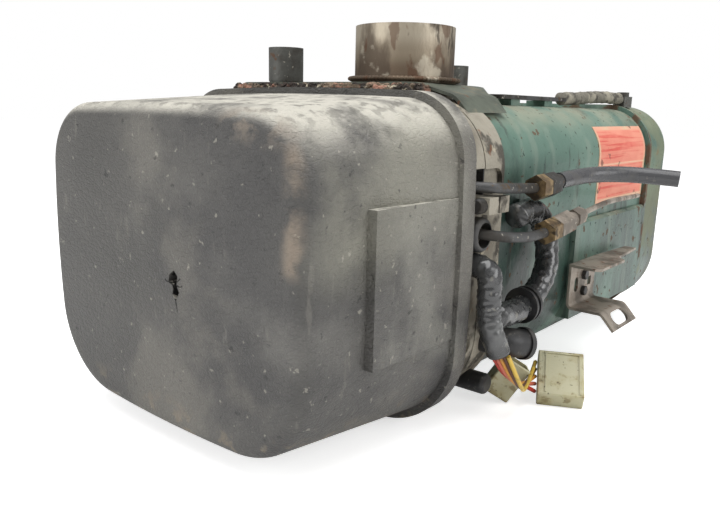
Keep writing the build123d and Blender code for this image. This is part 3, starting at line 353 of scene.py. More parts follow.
def hood_finish(sizes):
    """Black moulding with a fine leather grain, dust, smudges, worn edges and a torn hole with cracks; the
    grain's creases, the cracks and the hole are darkened with painted shade.
    """
    finish = Finish("hood_moulding", tuple(sizes.hood_colour), 0.5)
    grain = 1 / sizes.grain_size
    creases = finish.cells(grain, 0.0, 0.3, (1, 1, 1.5))
    folds = finish.cells(grain * 0.4, 0.0, 0.22, (0.8, 0.8, 1.6))
    finish.layer(finish.noise(6, 0.3, 0.7, 6), tone(98, 96, 92), 0.56, 0.8)
    finish.layer(finish.noise(4, 0.5, 0.66, 8), tone(118, 116, 111), 0.62, 0.7)
    finish.layer(finish.noise(5, 0.5, 0.64, 8, (1, 1, 1.4)), tone(54, 53, 53), 0.4, 0.8)
    finish.layer(finish.noise(13, 0.52, 0.64, 9), tone(134, 130, 120), 0.62, 0.35)
    # Painted shade: the grain's creases are darkened, as shade falls in them.
    finish.layer(finish.outside(creases), tone(58, 57, 55), 0.6, 0.22)
    dusty_side = finish.both(
        finish.region(place(96, 8, 10), place(128, 120, 106), 0.016), finish.noise(16, 0.34, 0.6, 8))
    finish.layer(dusty_side, tone(150, 148, 134), 0.7, 0.6)
    panel = finish.both(
        finish.region(place(121, 50, -66), place(130, 125, 60), 0.006),
        finish.noise(26, 0.44, 0.6, 8, (1, 1, 0.6)))
    finish.layer(panel, tone(134, 133, 124), 0.5, 0.55)
    streaks = finish.noise(170, 0.62, 0.7, 6, (1, 1, 0.2))
    finish.layer(streaks, tone(146, 142, 132), 0.6, 0.2)
    specks = finish.noise(190, 0.66, 0.7, 5)
    finish.layer(specks, tone(176, 172, 160), 0.8, 0.45)
    finish.layer(finish.noise(150, 0.66, 0.7, 6), tone(28, 28, 28), 0.6, 0.6)
    dust = finish.both(finish.upward(0.3, 0.9), finish.noise(34, 0.26, 0.56, 9))
    finish.layer(dust, tone(206, 202, 190), 0.9, 0.8)
    dust_edge = finish.both(finish.upward(0.6, 1.0), finish.noise(130, 0.5, 0.62, 8))
    finish.layer(dust_edge, tone(90, 88, 82), 0.85, 0.6)
    worn_edge = finish.both(
        finish.region(place(103, -6, 14), place(113, 5, 84), 0.004), finish.noise(50, 0.36, 0.6, 8))
    finish.layer(worn_edge, tone(146, 132, 116), 0.7, 0.7)
    top_corner = finish.both(
        finish.region(place(60, -6, 78), place(112, 8, 92), 0.008), finish.noise(70, 0.48, 0.6, 8))
    finish.layer(top_corner, tone(142, 130, 116), 0.7, 0.6)
    low_scuffs = finish.both(
        finish.region(place(-120, -6, -106), place(126, 132, -76), 0.01),
        finish.noise(80, 0.54, 0.62, 7))
    finish.layer(low_scuffs, tone(142, 130, 112), 0.8, 0.55)
    # Painted shade: the cracks and the torn hole are painted near-black for the shade inside their openings.
    for turn, reach in ((-78, 16), (8, 8), (38, 9), (160, 8), (100, 7)):
        finish.layer(finish.split(place(21, 0, -4), turn, reach / 1000), tone(8, 8, 8), 0.9, 0.95)
    finish.layer(finish.blot(place(21.5, 0, 2), 0.0034), tone(6, 6, 6), 0.9, 1.0)
    finish.layer(finish.blot(place(20.8, 0, -6), 0.0036), tone(6, 6, 6), 0.9, 1.0)
    finish.relief(creases, 0.5, 0.00045)
    finish.relief(folds, 0.45, 0.0007)
    finish.relief(finish.noise(700, 0.3, 0.7, 3), 0.15, 0.0003)
    return finish.done()


def green_finish(sizes):
    """Old green paint with dark stains, drips, dust, chips and rust, and darker towards the bottom."""
    finish = Finish("green_paint", tuple(sizes.green_colour), 0.36)
    finish.layer(finish.noise(10, 0.34, 0.66, 7), tone(118, 142, 128), 0.45, 0.75)
    finish.layer(finish.noise(7, 0.46, 0.64, 8, (1, 0.7, 1.2)), tone(62, 92, 82), 0.34, 0.75)
    finish.layer(finish.noise(12, 0.48, 0.6, 9, (1, 1, 0.45)), tone(38, 52, 47), 0.28, 0.8)
    # Darker towards the bottom, in cloudy patches, from the floor up to just above the burner's axis.
    low_dark = finish.both(
        finish.band("Z", 0.0, place(0, 0, 22).z, 0.02), finish.noise(18, 0.36, 0.6, 8, (1, 1, 0.5)))
    finish.layer(low_dark, tone(38, 52, 47), 0.35, 0.7)
    drips = finish.noise(60, 0.54, 0.64, 6, (1, 1, 0.12))
    finish.layer(drips, tone(142, 152, 138), 0.5, 0.28)
    finish.layer(finish.noise(75, 0.6, 0.66, 6, (1, 1, 0.16)), tone(28, 34, 31), 0.4, 0.55)
    dust = finish.both(finish.upward(0.4, 0.95), finish.noise(36, 0.3, 0.62, 9))
    finish.layer(dust, tone(150, 148, 128), 0.9, 0.65)
    chips = finish.noise(95, 0.63, 0.66, 8)
    finish.layer(chips, tone(92, 66, 46), 0.85, 0.85)
    specks = finish.noise(230, 0.65, 0.69, 5)
    finish.layer(specks, tone(26, 28, 25), 0.8, 0.8)
    edge = finish.both(
        finish.band("Y", place(0, 451, 0).y, place(0, 460, 0).y, 0.002), finish.noise(60, 0.46, 0.56, 8))
    finish.layer(edge, tone(96, 62, 40), 0.9, 0.8)
    skirt = finish.both(
        finish.band("Y", place(0, 460, 0).y, place(0, 520, 0).y, 0.002), finish.noise(30, 0.4, 0.6, 8))
    finish.layer(skirt, tone(126, 128, 98), 0.7, 0.55)
    finish.relief(finish.noise(150, 0.3, 0.7, 7), 0.2, 0.0008)
    finish.relief(chips, -0.5, 0.0004)
    return finish.done()


def casting_finish(sizes):
    """Grey-beige casting with black grime and rust."""
    finish = Finish("dirty_casting", tuple(sizes.casting_colour), 0.62, 0.25)
    finish.layer(finish.noise(24, 0.4, 0.62, 8), tone(122, 115, 102), 0.7, 0.85)
    finish.layer(finish.noise(42, 0.52, 0.6, 8), tone(46, 42, 37), 0.8, 0.8)
    finish.layer(finish.noise(110, 0.62, 0.68, 6), tone(190, 180, 158), 0.6, 0.6)
    finish.layer(finish.noise(75, 0.64, 0.7, 6), tone(120, 74, 42), 0.85, 0.7)
    finish.relief(finish.noise(320, 0.3, 0.7, 6), 0.45, 0.0008)
    return finish.done()


def exhaust_finish():
    """Heat-tinted steel: beige and brown bands with dark streaks."""
    finish = Finish("heat_tinted_steel", tone(142, 130, 112), 0.42, 0.55)
    finish.layer(
        finish.band("Z", place(0, 0, 136).z, place(0, 0, 152).z, 0.006), tone(176, 166, 148), 0.4, 0.8)
    finish.layer(finish.band("Z", place(0, 0, 108).z, place(0, 0, 124).z, 0.006), tone(96, 78, 62), 0.6, 0.75)
    finish.layer(finish.noise(36, 0.48, 0.62, 8, (1, 1, 0.4)), tone(78, 66, 54), 0.6, 0.8)
    finish.layer(finish.noise(110, 0.6, 0.66, 6, (1, 1, 0.25)), tone(48, 40, 34), 0.7, 0.7)
    finish.layer(finish.noise(44, 0.56, 0.64, 8), tone(196, 188, 170), 0.45, 0.55)
    finish.layer(finish.noise(70, 0.56, 0.62, 8, (1, 1, 0.5)), tone(92, 62, 44), 0.7, 0.6)
    finish.relief(finish.noise(300, 0.3, 0.7, 5, (1, 1, 0.5)), 0.25, 0.0005)
    return finish.done()


def worn_steel_finish(name, colour, rust, metallic=0.5, grime=0.8):
    """Bare or painted steel with grime and rust."""
    finish = Finish(name, colour, 0.5, metallic)
    finish.layer(finish.noise(50, 0.42, 0.62, 7), tone(58, 54, 48), 0.65, grime)
    finish.layer(finish.noise(120, 0.6, 0.68, 6), rust, 0.85, 0.75)
    finish.layer(finish.noise(300, 0.64, 0.7, 4), tone(196, 190, 176), 0.4, 0.5)
    finish.relief(finish.noise(420, 0.3, 0.7, 5), 0.25, 0.0004)
    return finish.done()


def rubber_finish(name="black_rubber", colour=None, roughness=0.42):
    """Black rubber with dust and faint mould marks."""
    finish = Finish(name, colour or tone(34, 34, 35), roughness)
    finish.layer(finish.noise(60, 0.5, 0.66, 7), tone(84, 82, 78), 0.75, 0.5)
    finish.layer(finish.noise(240, 0.62, 0.7, 4), tone(120, 116, 106), 0.85, 0.4)
    finish.relief(finish.noise(500, 0.3, 0.7, 4), 0.15, 0.0003)
    return finish.done()


def sleeve_finish():
    """Glossy grey-black sleeve with long dusty folds, their creases darkened with painted shade."""
    finish = Finish("crinkled_sleeve", tone(52, 53, 54), 0.2, 0.0, 1.0)
    folds = finish.cells(60, 0.0, 0.35, (1, 1, 0.5))
    finish.layer(finish.noise(30, 0.46, 0.64, 5), tone(104, 105, 103), 0.28, 0.5)
    # Painted shade: the fold creases are darkened.
    finish.layer(finish.outside(folds), tone(26, 26, 26), 0.35, 0.45)
    finish.layer(finish.noise(150, 0.6, 0.68, 6), tone(158, 154, 142), 0.6, 0.3)
    finish.relief(folds, 0.35, 0.0009)
    finish.relief(finish.noise(45, 0.25, 0.75, 2, (1, 1, 0.6)), 0.6, 0.0022)
    return finish.done()


def lead_finish():
    """Grimy beige-grey sleeve."""
    finish = Finish("dusty_sleeve", tone(112, 108, 97), 0.7)
    finish.layer(finish.noise(70, 0.44, 0.6, 7), tone(160, 154, 138), 0.8, 0.7)
    finish.layer(finish.noise(110, 0.54, 0.62, 7), tone(52, 48, 42), 0.7, 0.8)
    finish.relief(finish.noise(220, 0.3, 0.7, 6), 0.6, 0.001)
    return finish.done()


def foam_finish():
    """Crumbling foam: cream, salmon and burnt black."""
    finish = Finish("crumbling_foam", tone(128, 112, 94), 0.9)
    finish.layer(finish.noise(90, 0.48, 0.58, 6), tone(186, 132, 112), 0.9, 0.7)
    finish.layer(finish.noise(50, 0.42, 0.52, 6), tone(38, 33, 29), 0.9, 0.95)
    finish.layer(finish.noise(150, 0.6, 0.66, 5), tone(206, 196, 172), 0.9, 0.8)
    finish.relief(finish.noise(300, 0.3, 0.7, 6), 0.9, 0.002)
    return finish.done()


def label_finish(sizes):
    """Plain red label with a cream border, scuffed and stained."""
    finish = Finish("plain_label", tuple(sizes.label_colour), 0.5)
    cream = tone(208, 186, 152)
    inner = finish.region(place(60, 344, 23), place(130, 447, 79), 0.0006)
    finish.layer(finish.outside(inner), cream, 0.5, 0.9)
    finish.layer(finish.band("Z", place(0, 0, 50.5).z, place(0, 0, 52).z, 0.0004), cream, 0.5, 0.8)
    finish.layer(finish.noise(24, 0.4, 0.62, 8, (1, 1, 2)), tone(226, 142, 122), 0.6, 0.55)
    rows = finish.both(finish.noise(26, 0.42, 0.5, 6, (1, 0.4, 14)), inner)
    finish.layer(rows, tone(232, 176, 148), 0.6, 0.35)
    finish.layer(finish.noise(90, 0.62, 0.68, 6), tone(70, 56, 46), 0.7, 0.7)
    finish.relief(finish.noise(200, 0.3, 0.7, 5), 0.1, 0.0003)
    return finish.done()


def cream_finish():
    """Yellowed plug plastic with grime in its corners."""
    finish = Finish("yellowed_plastic", tone(184, 180, 148), 0.42)
    finish.layer(finish.noise(55, 0.45, 0.62, 7), tone(168, 158, 116), 0.5, 0.8)
    finish.layer(finish.noise(110, 0.55, 0.64, 7), tone(126, 112, 76), 0.6, 0.7)
    finish.layer(finish.noise(320, 0.64, 0.7, 4), tone(62, 54, 42), 0.7, 0.7)
    finish.relief(finish.noise(400, 0.3, 0.7, 4), 0.12, 0.0003)
    return finish.done()


def brass_finish():
    """Yellow zinc nuts with oily grime."""
    finish = Finish("yellow_zinc", tone(150, 128, 92), 0.42, 0.6)
    finish.layer(finish.noise(80, 0.45, 0.62, 7), tone(92, 74, 52), 0.5, 0.85)
    finish.layer(finish.noise(120, 0.48, 0.6, 6), tone(48, 42, 36), 0.6, 0.85)
    finish.relief(finish.noise(500, 0.3, 0.7, 4), 0.2, 0.0003)
    return finish.done()


def wire_finish(name, colour):
    """Glossy insulation with a little dirt."""
    finish = Finish(name, colour, 0.35)
    finish.layer(finish.noise(150, 0.5, 0.66, 5), tone(70, 54, 44), 0.5, 0.4)
    finish.relief(finish.noise(600, 0.3, 0.7, 3), 0.1, 0.0002)
    return finish.done()


def machined_finish(name, colour, roughness=0.34, metallic=0.85):
    """Clean hidden metal with turning marks."""
    finish = Finish(name, colour, roughness, metallic)
    finish.layer(finish.noise(90, 0.4, 0.65, 5), tone(120, 120, 120), roughness + 0.1, 0.4)
    finish.relief(finish.noise(240, 0.3, 0.7, 4, (1, 6, 1)), 0.12, 0.0003)
    return finish.done()


def moulded_finish():
    """Black case plastic with fine grain."""
    finish = Finish("black_case", tone(36, 36, 38), 0.5)
    finish.layer(finish.noise(120, 0.5, 0.65, 5), tone(58, 58, 60), 0.6, 0.5)
    finish.relief(finish.noise(900, 0.3, 0.7, 3), 0.2, 0.0002)
    return finish.done()


def saddle_finish():
    """Grey-green pressed plate, dusty and rusty."""
    finish = Finish("pressed_saddle", tone(92, 98, 86), 0.55, 0.2)
    finish.layer(finish.noise(24, 0.4, 0.64, 7), tone(58, 62, 54), 0.6, 0.8)
    finish.layer(finish.noise(60, 0.55, 0.64, 7), tone(128, 122, 104), 0.8, 0.7)
    finish.layer(finish.noise(110, 0.62, 0.68, 6), tone(116, 70, 44), 0.9, 0.8)
    finish.relief(finish.noise(260, 0.3, 0.7, 6), 0.3, 0.0006)
    return finish.done()


# Which CAD nodes take each finish
NODE_FINISHES = {
    "hood": ["burner_hood"],
    "green": ["heater_jacket", "rear_end_cap", "side_rail_right", "side_rail_left", "rail_clips"],
    "casting": ["burner_plate", "front_ring", "nozzle_block"],
    "exhaust": ["exhaust_stub"],
    "saddle": ["exhaust_saddle"],
    "stub": ["coolant_outlet", "coolant_inlet", "temperature_sensor"],
    "bracket": ["mount_bracket_right", "mount_bracket_left", "return_coupling"],
    "dark_steel": [
        "bracket_bolts", "sensor_rail", "clamp_screw", "supply_pipe", "return_pipe", "supply_coupling",
        "nozzle_line", "motor_bearings", "pump_drive_gear", "pump_idler_gear"],
    "brass": ["pipe_nuts", "fuel_nozzle"],
    "rubber": [
        "joint_gasket", "pipe_grommet", "harness_grommet", "air_intake_elbow", "drain_boot", "support_feet"],
    "label": ["data_plate"],
    "cream": ["plug_housing", "second_connector"],
    "foam": ["hood_clip"],
    "machined": [
        "exchanger_vessel", "fan_housing", "fuel_pump_body", "fuel_pump_cover", "fuel_valve_block",
        "fan_impeller"],
    "plain_steel": [
        "flame_tube", "drive_motor", "burner_tube", "ignition_electrodes", "motor_shaft", "hinge_pin"],
    "case": ["ignition_coil", "control_unit"],
}
finishes = {}


def make_finishes(sizes):
    """Build every finish once."""
    finishes["hood"] = hood_finish(sizes)
    finishes["green"] = green_finish(sizes)
    finishes["casting"] = casting_finish(sizes)
    finishes["exhaust"] = exhaust_finish()
    finishes["saddle"] = saddle_finish()
    finishes["stub"] = worn_steel_finish("dark_stub", tone(84, 84, 80), tone(96, 68, 48), 0.4)
    finishes["bracket"] = worn_steel_finish("worn_bracket", tone(168, 158, 146), tone(124, 84, 62), 0.6, 0.6)
    finishes["dark_steel"] = worn_steel_finish("oily_steel", tone(84, 84, 84), tone(104, 84, 60), 0.7)
    finishes["brass"] = brass_finish()
    finishes["rubber"] = rubber_finish()
    finishes["hose"] = rubber_finish("glossy_hose", tone(72, 72, 74), 0.26)
    finishes["sleeve"] = sleeve_finish()
    finishes["lead"] = lead_finish()
    finishes["foam"] = foam_finish()
    finishes["label"] = label_finish(sizes)
    finishes["cream"] = cream_finish()
    finishes["machined"] = machined_finish("cast_aluminium", tone(170, 170, 168))
    finishes["plain_steel"] = machined_finish("plain_steel", tone(150, 150, 150), 0.4)
    finishes["case"] = moulded_finish()
    wires = {
        "red": (176, 52, 40), "salmon": (206, 110, 88), "orange": (214, 150, 60), "brown": (92, 52, 34),
        "yellow": (206, 172, 70)}
    for name, values in wires.items():
        finishes[name] = wire_finish(name + "_wire", tone(*values))


def smooth_route(name, points):
    """A smooth open spline drawn by a route's control points."""
    curve = bpy.data.curves.new(name, "CURVE")
    curve.dimensions = "3D"
    curve.resolution_u = ROUTE_STEPS
    spline = curve.splines.new("NURBS")
    spline.points.add(len(points) - 1)
    for control, point in zip(spline.points, points):
        control.co = (*point, 1.0)
    spline.order_u = 3
    spline.use_endpoint_u = True
    return curve


def add_piece(name, data, body, finish):
    """Put a curve or mesh in the scene with a finish and ride it on a body."""
    piece = bpy.data.objects.new(name, data)
    bpy.context.scene.collection.objects.link(piece)
    data.materials.append(finish)
    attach(piece, body)
    return piece


def closed_mesh(name, shape):
    """Turn a bmesh's faces outward and keep it as a mesh."""
    mesh = bpy.data.meshes.new(name)
    bmesh.ops.recalc_face_normals(shape, faces=shape.faces)
    shape.to_mesh(mesh)
    shape.free()
    return mesh


def smooth(mesh):
    """Shade every face of a mesh smoothly."""
    mesh.polygons.foreach_set("use_smooth", [True] * len(mesh.polygons))


def cord_curve(name, points, diameter, body, finish):
    """A cord as one smooth open spline with a round section."""
    curve = smooth_route(name, points)
    curve.bevel_depth = diameter / 2
    curve.bevel_resolution = 6
    curve.use_fill_caps = True
    return add_piece(name, curve, body, finish)


def measured_route(points):
    """Corners along a route's smooth spline, and its length."""
    curve = smooth_route("measured", points)
    holder = bpy.data.objects.new("measured", curve)
    bpy.context.scene.collection.objects.link(holder)
    mesh = bpy.data.meshes.new_from_object(holder)
    corners = [vertex.co.copy() for vertex in mesh.vertices]
    bpy.data.objects.remove(holder)
    bpy.data.meshes.remove(mesh)
    bpy.data.curves.remove(curve)
    return corners, sum((b - a).length for a, b in zip(corners, corners[1:]))


def sleeve_mesh(name, points, diameter, body, finish, ripple, seed):
    """A crinkled sleeve: rings along the smooth route, each pushed in and out a little."""
    corners, total = measured_route(points)
    shape = bmesh.new()
    side_axis = Vector((1, 0, 0))
    rings = []
    for index, corner in enumerate(corners):
        before = corners[max(index - 1, 0)]
        after = corners[min(index + 1, len(corners) - 1)]
        direction = (after - before).normalized()
        side_axis = (side_axis - direction * side_axis.dot(direction)).normalized()
        other = direction.cross(side_axis)
        ring = []
        for step in range(SLEEVE_SIDES):
            angle = 2 * math.pi * step / SLEEVE_SIDES
            wave = math.sin(3 * angle + index * 0.55 + seed)
            wave += 0.7 * math.sin(5 * angle - index * 0.9 + seed * 2)
            wave += 0.8 * math.sin(index * 1.3 + seed) * math.cos(2 * angle + seed)
            reach = diameter / 2 * (1.06 + ripple * wave / 2.5)
            outward = side_axis * math.cos(angle) + other * math.sin(angle)
            ring.append(shape.verts.new(corner + outward * reach))
        rings.append(ring)
    for ring, following in zip(rings, rings[1:]):
        for step in range(SLEEVE_SIDES):
            nearer = (step + 1) % SLEEVE_SIDES
            shape.faces.new((ring[step], ring[nearer], following[nearer], following[step]))
    shape.faces.new(list(reversed(rings[0])))
    shape.faces.new(rings[-1])
    mesh = closed_mesh(name, shape)
    smooth(mesh)
    return add_piece(name, mesh, body, finish), corners, total


def new_tree(name, inputs):
    """Node tree with geometry in and out and the named inputs."""
    tree = bpy.data.node_groups.new(name, "GeometryNodeTree")
    tree.interface.new_socket("Geometry", in_out="INPUT", socket_type="NodeSocketGeometry")
    for label, kind in inputs.items():
        tree.interface.new_socket(label, in_out="INPUT", socket_type=kind)
    tree.interface.new_socket("Geometry", in_out="OUTPUT", socket_type="NodeSocketGeometry")
    return tree


def set_lumps(tree, points, radius, finish):
    """Set a round lump on every point, make the copies real and paint them."""
    nodes, links = tree.nodes, tree.links
    lump = nodes.new("GeometryNodeMeshIcoSphere")
    lump.inputs["Subdivisions"].default_value = 2
    copies = nodes.new("GeometryNodeInstanceOnPoints")
    realize = nodes.new("GeometryNodeRealizeInstances")
    paint = nodes.new("GeometryNodeSetMaterial")
    paint.inputs["Material"].default_value = finish
    result = nodes.new("NodeGroupOutput")
    links.new(radius, lump.inputs["Radius"])
    links.new(points, copies.inputs["Points"])
    links.new(lump.outputs["Mesh"], copies.inputs["Instance"])
    links.new(copies.outputs["Instances"], realize.inputs["Geometry"])
    links.new(realize.outputs["Geometry"], paint.inputs["Geometry"])
    links.new(paint.outputs["Geometry"], result.inputs["Geometry"])
    return copies


def crumb_tree(finish):
    """Crumbs scattered over a surface, each a small turned lump."""
    tree = new_tree("Foam Crumbs", {"Density": "NodeSocketFloat", "Crumb Radius": "NodeSocketFloat"})
    nodes, links = tree.nodes, tree.links
    source = nodes.new("NodeGroupInput")
    scatter = nodes.new("GeometryNodeDistributePointsOnFaces")
    scatter.inputs["Seed"].default_value = 7
    size = nodes.new("FunctionNodeRandomValue")
    size.inputs[2].default_value = 0.35
    size.inputs[3].default_value = 1.0
    size.inputs["Seed"].default_value = 3
    turn = nodes.new("FunctionNodeRandomValue")
    turn.data_type = "FLOAT_VECTOR"
    turn.inputs[1].default_value = (6.28, 6.28, 6.28)
    turn.inputs["Seed"].default_value = 5
    links.new(source.outputs["Geometry"], scatter.inputs["Mesh"])
    links.new(source.outputs["Density"], scatter.inputs["Density"])
    copies = set_lumps(tree, scatter.outputs["Points"], source.outputs["Crumb Radius"], finish)
    links.new(size.outputs[1], copies.inputs["Scale"])
    links.new(turn.outputs[0], copies.inputs["Rotation"])
    return tree


def ripple_tree(finish):
    """Weld ripples set round a circle, each a flattened lump."""
    tree = new_tree("Weld Ripples", {
        "Ring Radius": "NodeSocketFloat", "Ripple Radius": "NodeSocketFloat", "Count": "NodeSocketInt"})
    nodes, links = tree.nodes, tree.links
    source = nodes.new("NodeGroupInput")
    circle = nodes.new("GeometryNodeMeshCircle")
    links.new(source.outputs["Count"], circle.inputs["Vertices"])
    links.new(source.outputs["Ring Radius"], circle.inputs["Radius"])
    copies = set_lumps(tree, circle.outputs["Mesh"], source.outputs["Ripple Radius"], finish)
    copies.inputs["Scale"].default_value = (1.2, 1.2, 0.8)
    return tree


def grown(name, source_mesh, tree, values, offset, body, finish):
    """Run a tree on a mesh, keep its result as a plain mesh piece and ride it on a body."""
    piece = bpy.data.objects.new(name, source_mesh)
    bpy.context.scene.collection.objects.link(piece)
    modifier = piece.modifiers.new("grow", "NODES")
    modifier.node_group = tree
    for item in tree.interface.items_tree:
        if item.in_out == "INPUT" and item.name in values:
            modifier[item.identifier] = values[item.name]
    evaluated = piece.evaluated_get(bpy.context.evaluated_depsgraph_get())
    mesh = bpy.data.meshes.new_from_object(evaluated)
    piece.modifiers.remove(modifier)
    mesh.transform(Matrix.Translation(offset))
    smooth(mesh)
    piece.data = mesh
    mesh.name = name
    if not mesh.materials:
        mesh.materials.append(finish)
    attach(piece, body)
    return piece


def plug_point(along, up, out):
    """Point on the plug, in metres from its resting corner."""
    return PLUG_CORNER + PLUG_ALONG * along + PLUG_UP * up + PLUG_OUT * out


def bar_between(shape, start, end, width, height, up):
    """Add a box-shaped bar from start to end to a bmesh."""
    direction = end - start
    across = direction.normalized().cross(up).normalized() * width / 2
    rise = up.normalized() * height
    low = [start - across, start + across, end + across, end - across]
    corners = [shape.verts.new(point) for point in low + [point + rise for point in low]]
    faces = ((0, 3, 2, 1), (4, 5, 6, 7), (0, 1, 5, 4), (1, 2, 6, 5), (2, 3, 7, 6), (3, 0, 4, 7))
    for face in faces:
        shape.faces.new([corners[index] for index in face])


class HEATER_OT_finishes(bpy.types.Operator):
    """Give every solid of the heater its finish"""
    bl_idname = "heater.finishes"
    bl_label = "Finishes"

    def execute(self, context):
        make_finishes(context.scene.heater_finish_sizes)
        for finish, nodes in NODE_FINISHES.items():
            for node in nodes:
                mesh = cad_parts[node].data
                mesh.materials.clear()
                mesh.materials.append(finishes[finish])
        return {"FINISHED"}


class HEATER_OT_cords(bpy.types.Operator):
    """Make the hose, the return line, the sleeved harness and its branch, and the loose wires"""
    bl_idname = "heater.cords"
    bl_label = "Cords"

    def execute(self, context):
        sizes = context.scene.heater_piece_sizes
        hose = cord_curve("hose_rubber", HOSE_ROUTE, sizes.hose_diameter, "head", finishes["hose"])
        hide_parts("fuel_hose")
        line = cord_curve("return_tube", LINE_ROUTE, sizes.line_diameter, "head", finishes["bracket"])
        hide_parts("return_line")
        harness, _, _ = sleeve_mesh(
            "harness_sleeve", HARNESS_ROUTE, sizes.harness_diameter, "head", finishes["sleeve"], 0.07, 1.0)
        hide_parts("main_harness")
        branch, path, total = sleeve_mesh(
            "branch_sleeve", BRANCH_ROUTE, sizes.branch_diameter, "head", finishes["sleeve"], 0.07, 2.2)
        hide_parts("branch_harness")
        colours = ("red", "salmon", "orange", "brown", "yellow")
        for index, colour in enumerate(colours):
            spread = (index - 2) * WIRE_PITCH
            target = plug_point(-0.0017, PLUG_WIDTH / 2 + 2 * spread / 1000, PLUG_THICKNESS / 2)
            route = [
                place(140.5 + spread * 0.9, 148 - spread * 0.1, -54.3 + spread * 0.2),
                place(144 + spread, 158, -72 - spread / 3),
                place(141 + spread / 2, 179, -84 - spread / 2), target]
            wire = cord_curve("wire_" + colour, route, sizes.wire_diameter, "head", finishes[colour])
            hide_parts("plug_wires")
            _, length = measured_route(route)
        return {"FINISHED"}


class HEATER_OT_lead(bpy.types.Operator):
    """Make the sensor's crinkled sleeve along the jacket's top"""
    bl_idname = "heater.lead"
    bl_label = "Sensor lead"

    def execute(self, context):
        sizes = context.scene.heater_piece_sizes
        lead, _, _ = sleeve_mesh(
            "sensor_sleeve", LEAD_ROUTE, sizes.lead_diameter, "root", finishes["lead"], 0.09, 3.1)
        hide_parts("sensor_lead")
        return {"FINISHED"}


class HEATER_OT_foam(bpy.types.Operator):
    """Make the crumbling foam seal in front of the saddle"""
    bl_idname = "heater.foam"
    bl_label = "Foam seal"

    def execute(self, context):
        sizes = context.scene.heater_piece_sizes
        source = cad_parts["foam_seal"].data.copy()
        values = {"Density": sizes.crumb_density, "Crumb Radius": sizes.crumb_size}
        crumbs = grown(
            "foam_crumbs", source, crumb_tree(finishes["foam"]), values, Vector((0, 0, CRUMB_LIFT)), "root",
            finishes["foam"])
        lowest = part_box("foam_seal")[0][2]
        for vertex in crumbs.data.vertices:
            vertex.co.z = max(vertex.co.z, lowest)
        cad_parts["foam_seal"].data.materials.clear()
        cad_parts["foam_seal"].data.materials.append(finishes["foam"])
        return {"FINISHED"}


class HEATER_OT_weld(bpy.types.Operator):
    """Make the ripples of the weld round the exhaust stub's foot"""
    bl_idname = "heater.weld"
    bl_label = "Exhaust weld"

    def execute(self, context):
        sizes = context.scene.heater_piece_sizes
        low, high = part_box("exhaust_stub")
        centre = Vector(((low[0] + high[0]) / 2, (low[1] + high[1]) / 2, WELD_HEIGHT))
        empty = bpy.data.meshes.new("weld_source")
        values = {
            "Ring Radius": (high[0] - low[0]) / 2, "Ripple Radius": sizes.bead_radius,
            "Count": sizes.ripple_count}
        grown(
            "stub_weld", empty, ripple_tree(finishes["exhaust"]), values, centre, "root", finishes["exhaust"])
        return {"FINISHED"}


class HEATER_OT_plug_details(bpy.types.Operator):
    """Make the plug's ridges and the contacts in its pockets"""
    bl_idname = "heater.plug_details"
    bl_label = "Plug details"

    def execute(self, context):
        shape = bmesh.new()
        top = PLUG_THICKNESS - RIDGE_SINK
        for start, end in PLUG_RIDGES:
            bar_between(shape, plug_point(*start, top), plug_point(*end, top), *RIDGE_SECTION, PLUG_OUT)
        add_piece("plug_ridges", closed_mesh("plug_ridges", shape), "head", finishes["cream"])
        shape = bmesh.new()
        for row in (-1, 1):
            for column in range(CONTACT_COLUMNS):
                up = PLUG_WIDTH / 2 + (column - (CONTACT_COLUMNS - 1) / 2) * CONTACT_PITCH
                out = PLUG_THICKNESS / 2 + row * CONTACT_ROW
                start, end = (plug_point(along, up, out) for along in CONTACT_ENDS)
                bar_between(shape, start, end, *CONTACT_SECTION, PLUG_OUT)
        add_piece("plug_contacts", closed_mesh("plug_contacts", shape), "head", finishes["brass"])
        return {"FINISHED"}


